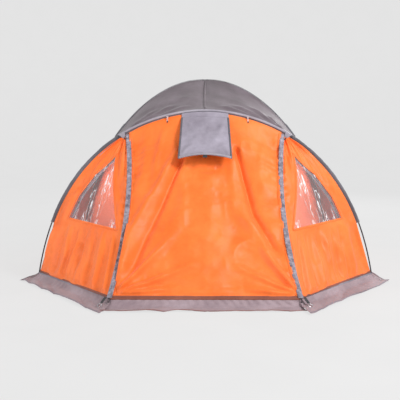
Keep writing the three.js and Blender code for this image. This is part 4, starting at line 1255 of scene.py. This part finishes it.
def make_skirts():
    rear = leg_point(1, 1, LEG.share_at_height(HEM_Z))
    rx, ry = float(rear[0]), float(rear[1]) - ARCH_Y
    for name, side in SIDES:
        make_skirt(f"ground_skirt_front_{name}", (side * 0.656, -0.868), (side * 1.376, -0.022),
                   (side * 0.055, -0.188), (side * 0.146, -0.040), f"skirt_front_{name}",
                   seed=130 + 10 * side, raised=(0.004, 0.005))
        make_skirt(f"ground_skirt_side_{name}", (side * 1.377, -0.026), (side * rx, ry + 0.001),
                   (side * 0.150, -0.040), (side * 0.119, 0.137), f"skirt_side_{name}",
                   seed=160 + 10 * side, columns=260)
    make_skirt("ground_skirt_rear", (-rx + 0.005, ry + 0.003), (rx - 0.005, ry + 0.003),
               (-0.118, 0.138), (0.118, 0.138), "skirt_rear", seed=190, columns=260)
    front = np.array([(0.05, 0.067), (0.12, 0.047), (0.2, 0.028), (0.35, 0.014), (0.5, 0.007),
                      (0.75, 0.004), (1.0, 0.0024)])
    # The door skirt's bindings take the darkened hem colour: painted shade under the door's hem.
    make_skirt("ground_skirt_door", (-0.664, DOOR_Y - 0.006), (0.664, DOOR_Y - 0.006),
               (-0.062, -0.135), (0.045, -0.100), "door_skirt", body="door", profile=front, seed=210,
               columns=240, trim=HEM_DARKENED_FOR_SHADE)


def make_corners():
    for name, side in SIDES:
        finish_node(f"door_hook_{name}", BLACK)
        finish_node(f"arch_foot_{name}", BLACK)
        finish_node(f"corner_strap_{name}", WEBBING)
        centre = np.array(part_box(f"peg_ring_{name}")).mean(0)
        run = unit(np.array([side * 34.0, -40, -44]))
        across = unit(np.cross(run, (0, 0, 1)))
        angle = np.linspace(0, TAU, 41)[:, None]
        ring = centre + 0.017 * (run * np.cos(angle) + across * np.sin(angle))
        Solid().tube(ring, 0.0022, 12, hint=np.cross(run, across)).build(
            f"corner_ring_{name}", STEEL, slot="steel", replaces=(f"peg_ring_{name}",))


# ---- inner tent
def inner_point(side, end, share):
    return leg_point(side, end, share, INNER_INSET)


INNER_LAST = float(LEG.share_at_height(0.008, INNER_INSET))


def make_inner():
    """The inner tent's sides and rear in one sheet, and its groundsheet."""
    ends = [(-1, -1), (-1, 1), (1, 1), (1, -1)]

    def place(u, v):
        share = lerp(0.004, INNER_LAST, v)
        part = np.minimum((u * 3).astype(int), 2)
        t = (u * 3 - part)[..., None]
        out = np.zeros((*u.shape, 3))
        for k in range(3):
            low, high = inner_point(*ends[k], share), inner_point(*ends[k + 1], share)
            back = xyz(0, 0.003 if k == 1 else 0.0, 0)
            out = np.where((part == k)[..., None], lerp(low, high, t) + back, out)
        return out

    def relief(u, v):
        part = u * 3 - np.floor(u * 3)
        free = rim(part, 0.15) * smooth(0, 0.08, v) * smooth(0, 0.05, 1 - v)
        return free * 0.004 * crumple(u * 5, v * 1.8, 0.35, 301)

    Solid().grid(180, 90, place, relief).build("inner_walls", INNER, slot="inner_cloth", held="hung",
                                               replaces=("inner_left", "inner_right", "inner_rear"))
    make_inner_front()
    low, high = (np.array(c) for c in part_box("groundsheet"))
    middle, half = (low + high) / 2, (high - low) / 2

    def lay(u, v):
        x, y = 2 * u - 1, 2 * v - 1
        inward = 1 - (np.abs(x) * np.abs(y)) ** 6
        return xyz(middle[0] + x * (half[0] - 0.036 * inward),
                   middle[1] + y * (half[1] - 0.030 * inward), 0.0018)

    def lay_relief(u, v):
        return 0.0008 * np.maximum(0, crumple(u * 2, v * 1.7, 0.2, 305))

    Solid().grid(90, 80, lay, lay_relief).build(
        "groundsheet_cloth", FLOOR, slot="groundsheet_grey", held="laid", replaces=("groundsheet",))


def make_inner_front():
    """The inner tent's front wall with its door opening, and the door's cloth in it."""
    edge = [(float(inner_point(1, -1, t)[0]), t * LEG.length)
            for t in np.linspace(0.004, INNER_LAST, 50)]
    outline = [*edge, *[(-x, s) for x, s in edge[::-1]]][::-1]
    half, radius = 0.420, 0.220
    low, high = (float(LEG.share_at_height(z, INNER_INSET)) * LEG.length for z in (0.165, 1.0))

    def door_outline(shrink):
        w = half - shrink
        arc = [(w - radius + radius * math.cos(a), high + shrink + radius - radius * math.sin(a))
               for a in np.linspace(0, math.pi / 2, 12)]
        return [(w, low - shrink), *arc, (-w, high + shrink), (-w, low - shrink)]

    def bend(x, length):
        point = inner_point(1, -1, length / LEG.length)
        point[..., 0] = x
        point[..., 1] -= 0.003
        return point

    def relief(x, s):
        return 0.003 * crumple(x, s, 0.2, 311) * smooth(0, 0.06, half - np.abs(x))

    wall = Solid().region(outline, [door_outline(0)], 0.03, bend)
    wall.size = (2.0, 1.95)
    wall.build("inner_front_cloth", INNER, slot="inner_cloth", held="hung", replaces=("inner_front",))
    door = Solid().region(door_outline(0.003), [], 0.018, bend, relief)
    door.size = (0.85, 0.95)
    door.build("inner_door_cloth", INNER, body="inner_door", slot="inner_cloth", held="hung",
               replaces=("inner_door",))
    x, s = closed(split_loop(np.array(door_outline(0.0)), 0.02)).T
    Solid().ribbon(bend(x, s), surface_normal(bend, x, s), 0.002, 0.016, 0.002, 0.0008, 0.0014).build(
        "inner_door_band", TRIM, slot="inner_cloth")


# ---- floor and light
def make_stage():
    """A pale floor that curves up into a pale backdrop, and soft studio lights."""
    scene = bpy.context.scene
    scene.view_settings.view_transform = "Standard"
    floor = bpy.data.meshes.new("floor")
    bend = np.linspace(0, math.pi / 2, 14)
    reach = np.concatenate([[0.5, 3, 7], 13 + 4 * np.sin(bend), [17.0]])
    height = np.concatenate([[0, 0, 0], 4 - 4 * np.cos(bend), [16.0]])
    angle = np.linspace(0, TAU, 96, endpoint=False)
    ring = np.stack([np.outer(reach, np.cos(angle)), np.outer(reach, np.sin(angle)),
                     np.outer(height, np.ones(96))], -1).reshape(-1, 3)
    faces = [(96 * i + k, 96 * i + (k + 1) % 96, 96 * (i + 1) + (k + 1) % 96, 96 * (i + 1) + k)
             for i in range(len(reach) - 1) for k in range(96)]
    faces.append(tuple(range(95, -1, -1)))
    floor.from_pydata(ring.tolist(), [], faces)
    floor.polygons.foreach_set("use_smooth", [True] * len(faces))
    s = Shader("studio_floor", 1.0, Specular_IOR_Level=0.0, Emission_Color=(1, 1, 1, 1),
               Emission_Strength=0.70)
    grain = s.noise(s.object, 2.0, 2)
    s.drive("Base Color", s.ramp(grain, [(0.3, (0.10, 0.10, 0.10)), (0.7, (0.11, 0.11, 0.11))]))
    floor.materials.append(s.material)
    stage = bpy.data.objects.new("floor", floor)
    scene.collection.objects.link(stage)
    world = bpy.data.worlds.new("studio")
    scene.world = world
    world.use_nodes = True
    world.node_tree.nodes["Background"].inputs[0].default_value = (1, 1, 1, 1)
    world.node_tree.nodes["Background"].inputs[1].default_value = 0.29
    for name, place, target, size, power in (
        ("key", (3.6, -3.8, 4.4), (0, 0, 0.6), 1.6, 300),
        ("fill", (-5.4, -4.0, 1.7), (0, 0, 0.6), 3.0, 120),
        ("rear", (2.5, 6.0, 4.0), (0, 0.4, 0.5), 2.0, 130),
        ("porch_left", (-0.60, ARCH_Y - 0.02, 0.98), (-0.75, ARCH_Y - 0.05, 0), 0.14, 2.0),
        ("porch_right", (0.60, ARCH_Y - 0.02, 0.98), (0.75, ARCH_Y - 0.05, 0), 0.14, 2.0),
    ):
        lamp = bpy.data.lights.new(name, "AREA")
        lamp.size, lamp.energy = size, power
        holder = bpy.data.objects.new(name, lamp)
        scene.collection.objects.link(holder)
        holder.location = place
        holder.rotation_euler = (Vector(target) - Vector(place)).to_track_quat("-Z", "Y").to_euler()


make_roof()
make_walls()
make_poles()
make_sleeves()
make_roof_tabs()
for side_name, side_sign in SIDES:
    make_porch(side_name, side_sign)
make_door()
make_flaps()
make_zips()
make_hood()
make_ties()
make_skirts()
make_corners()
make_inner()
make_stage()
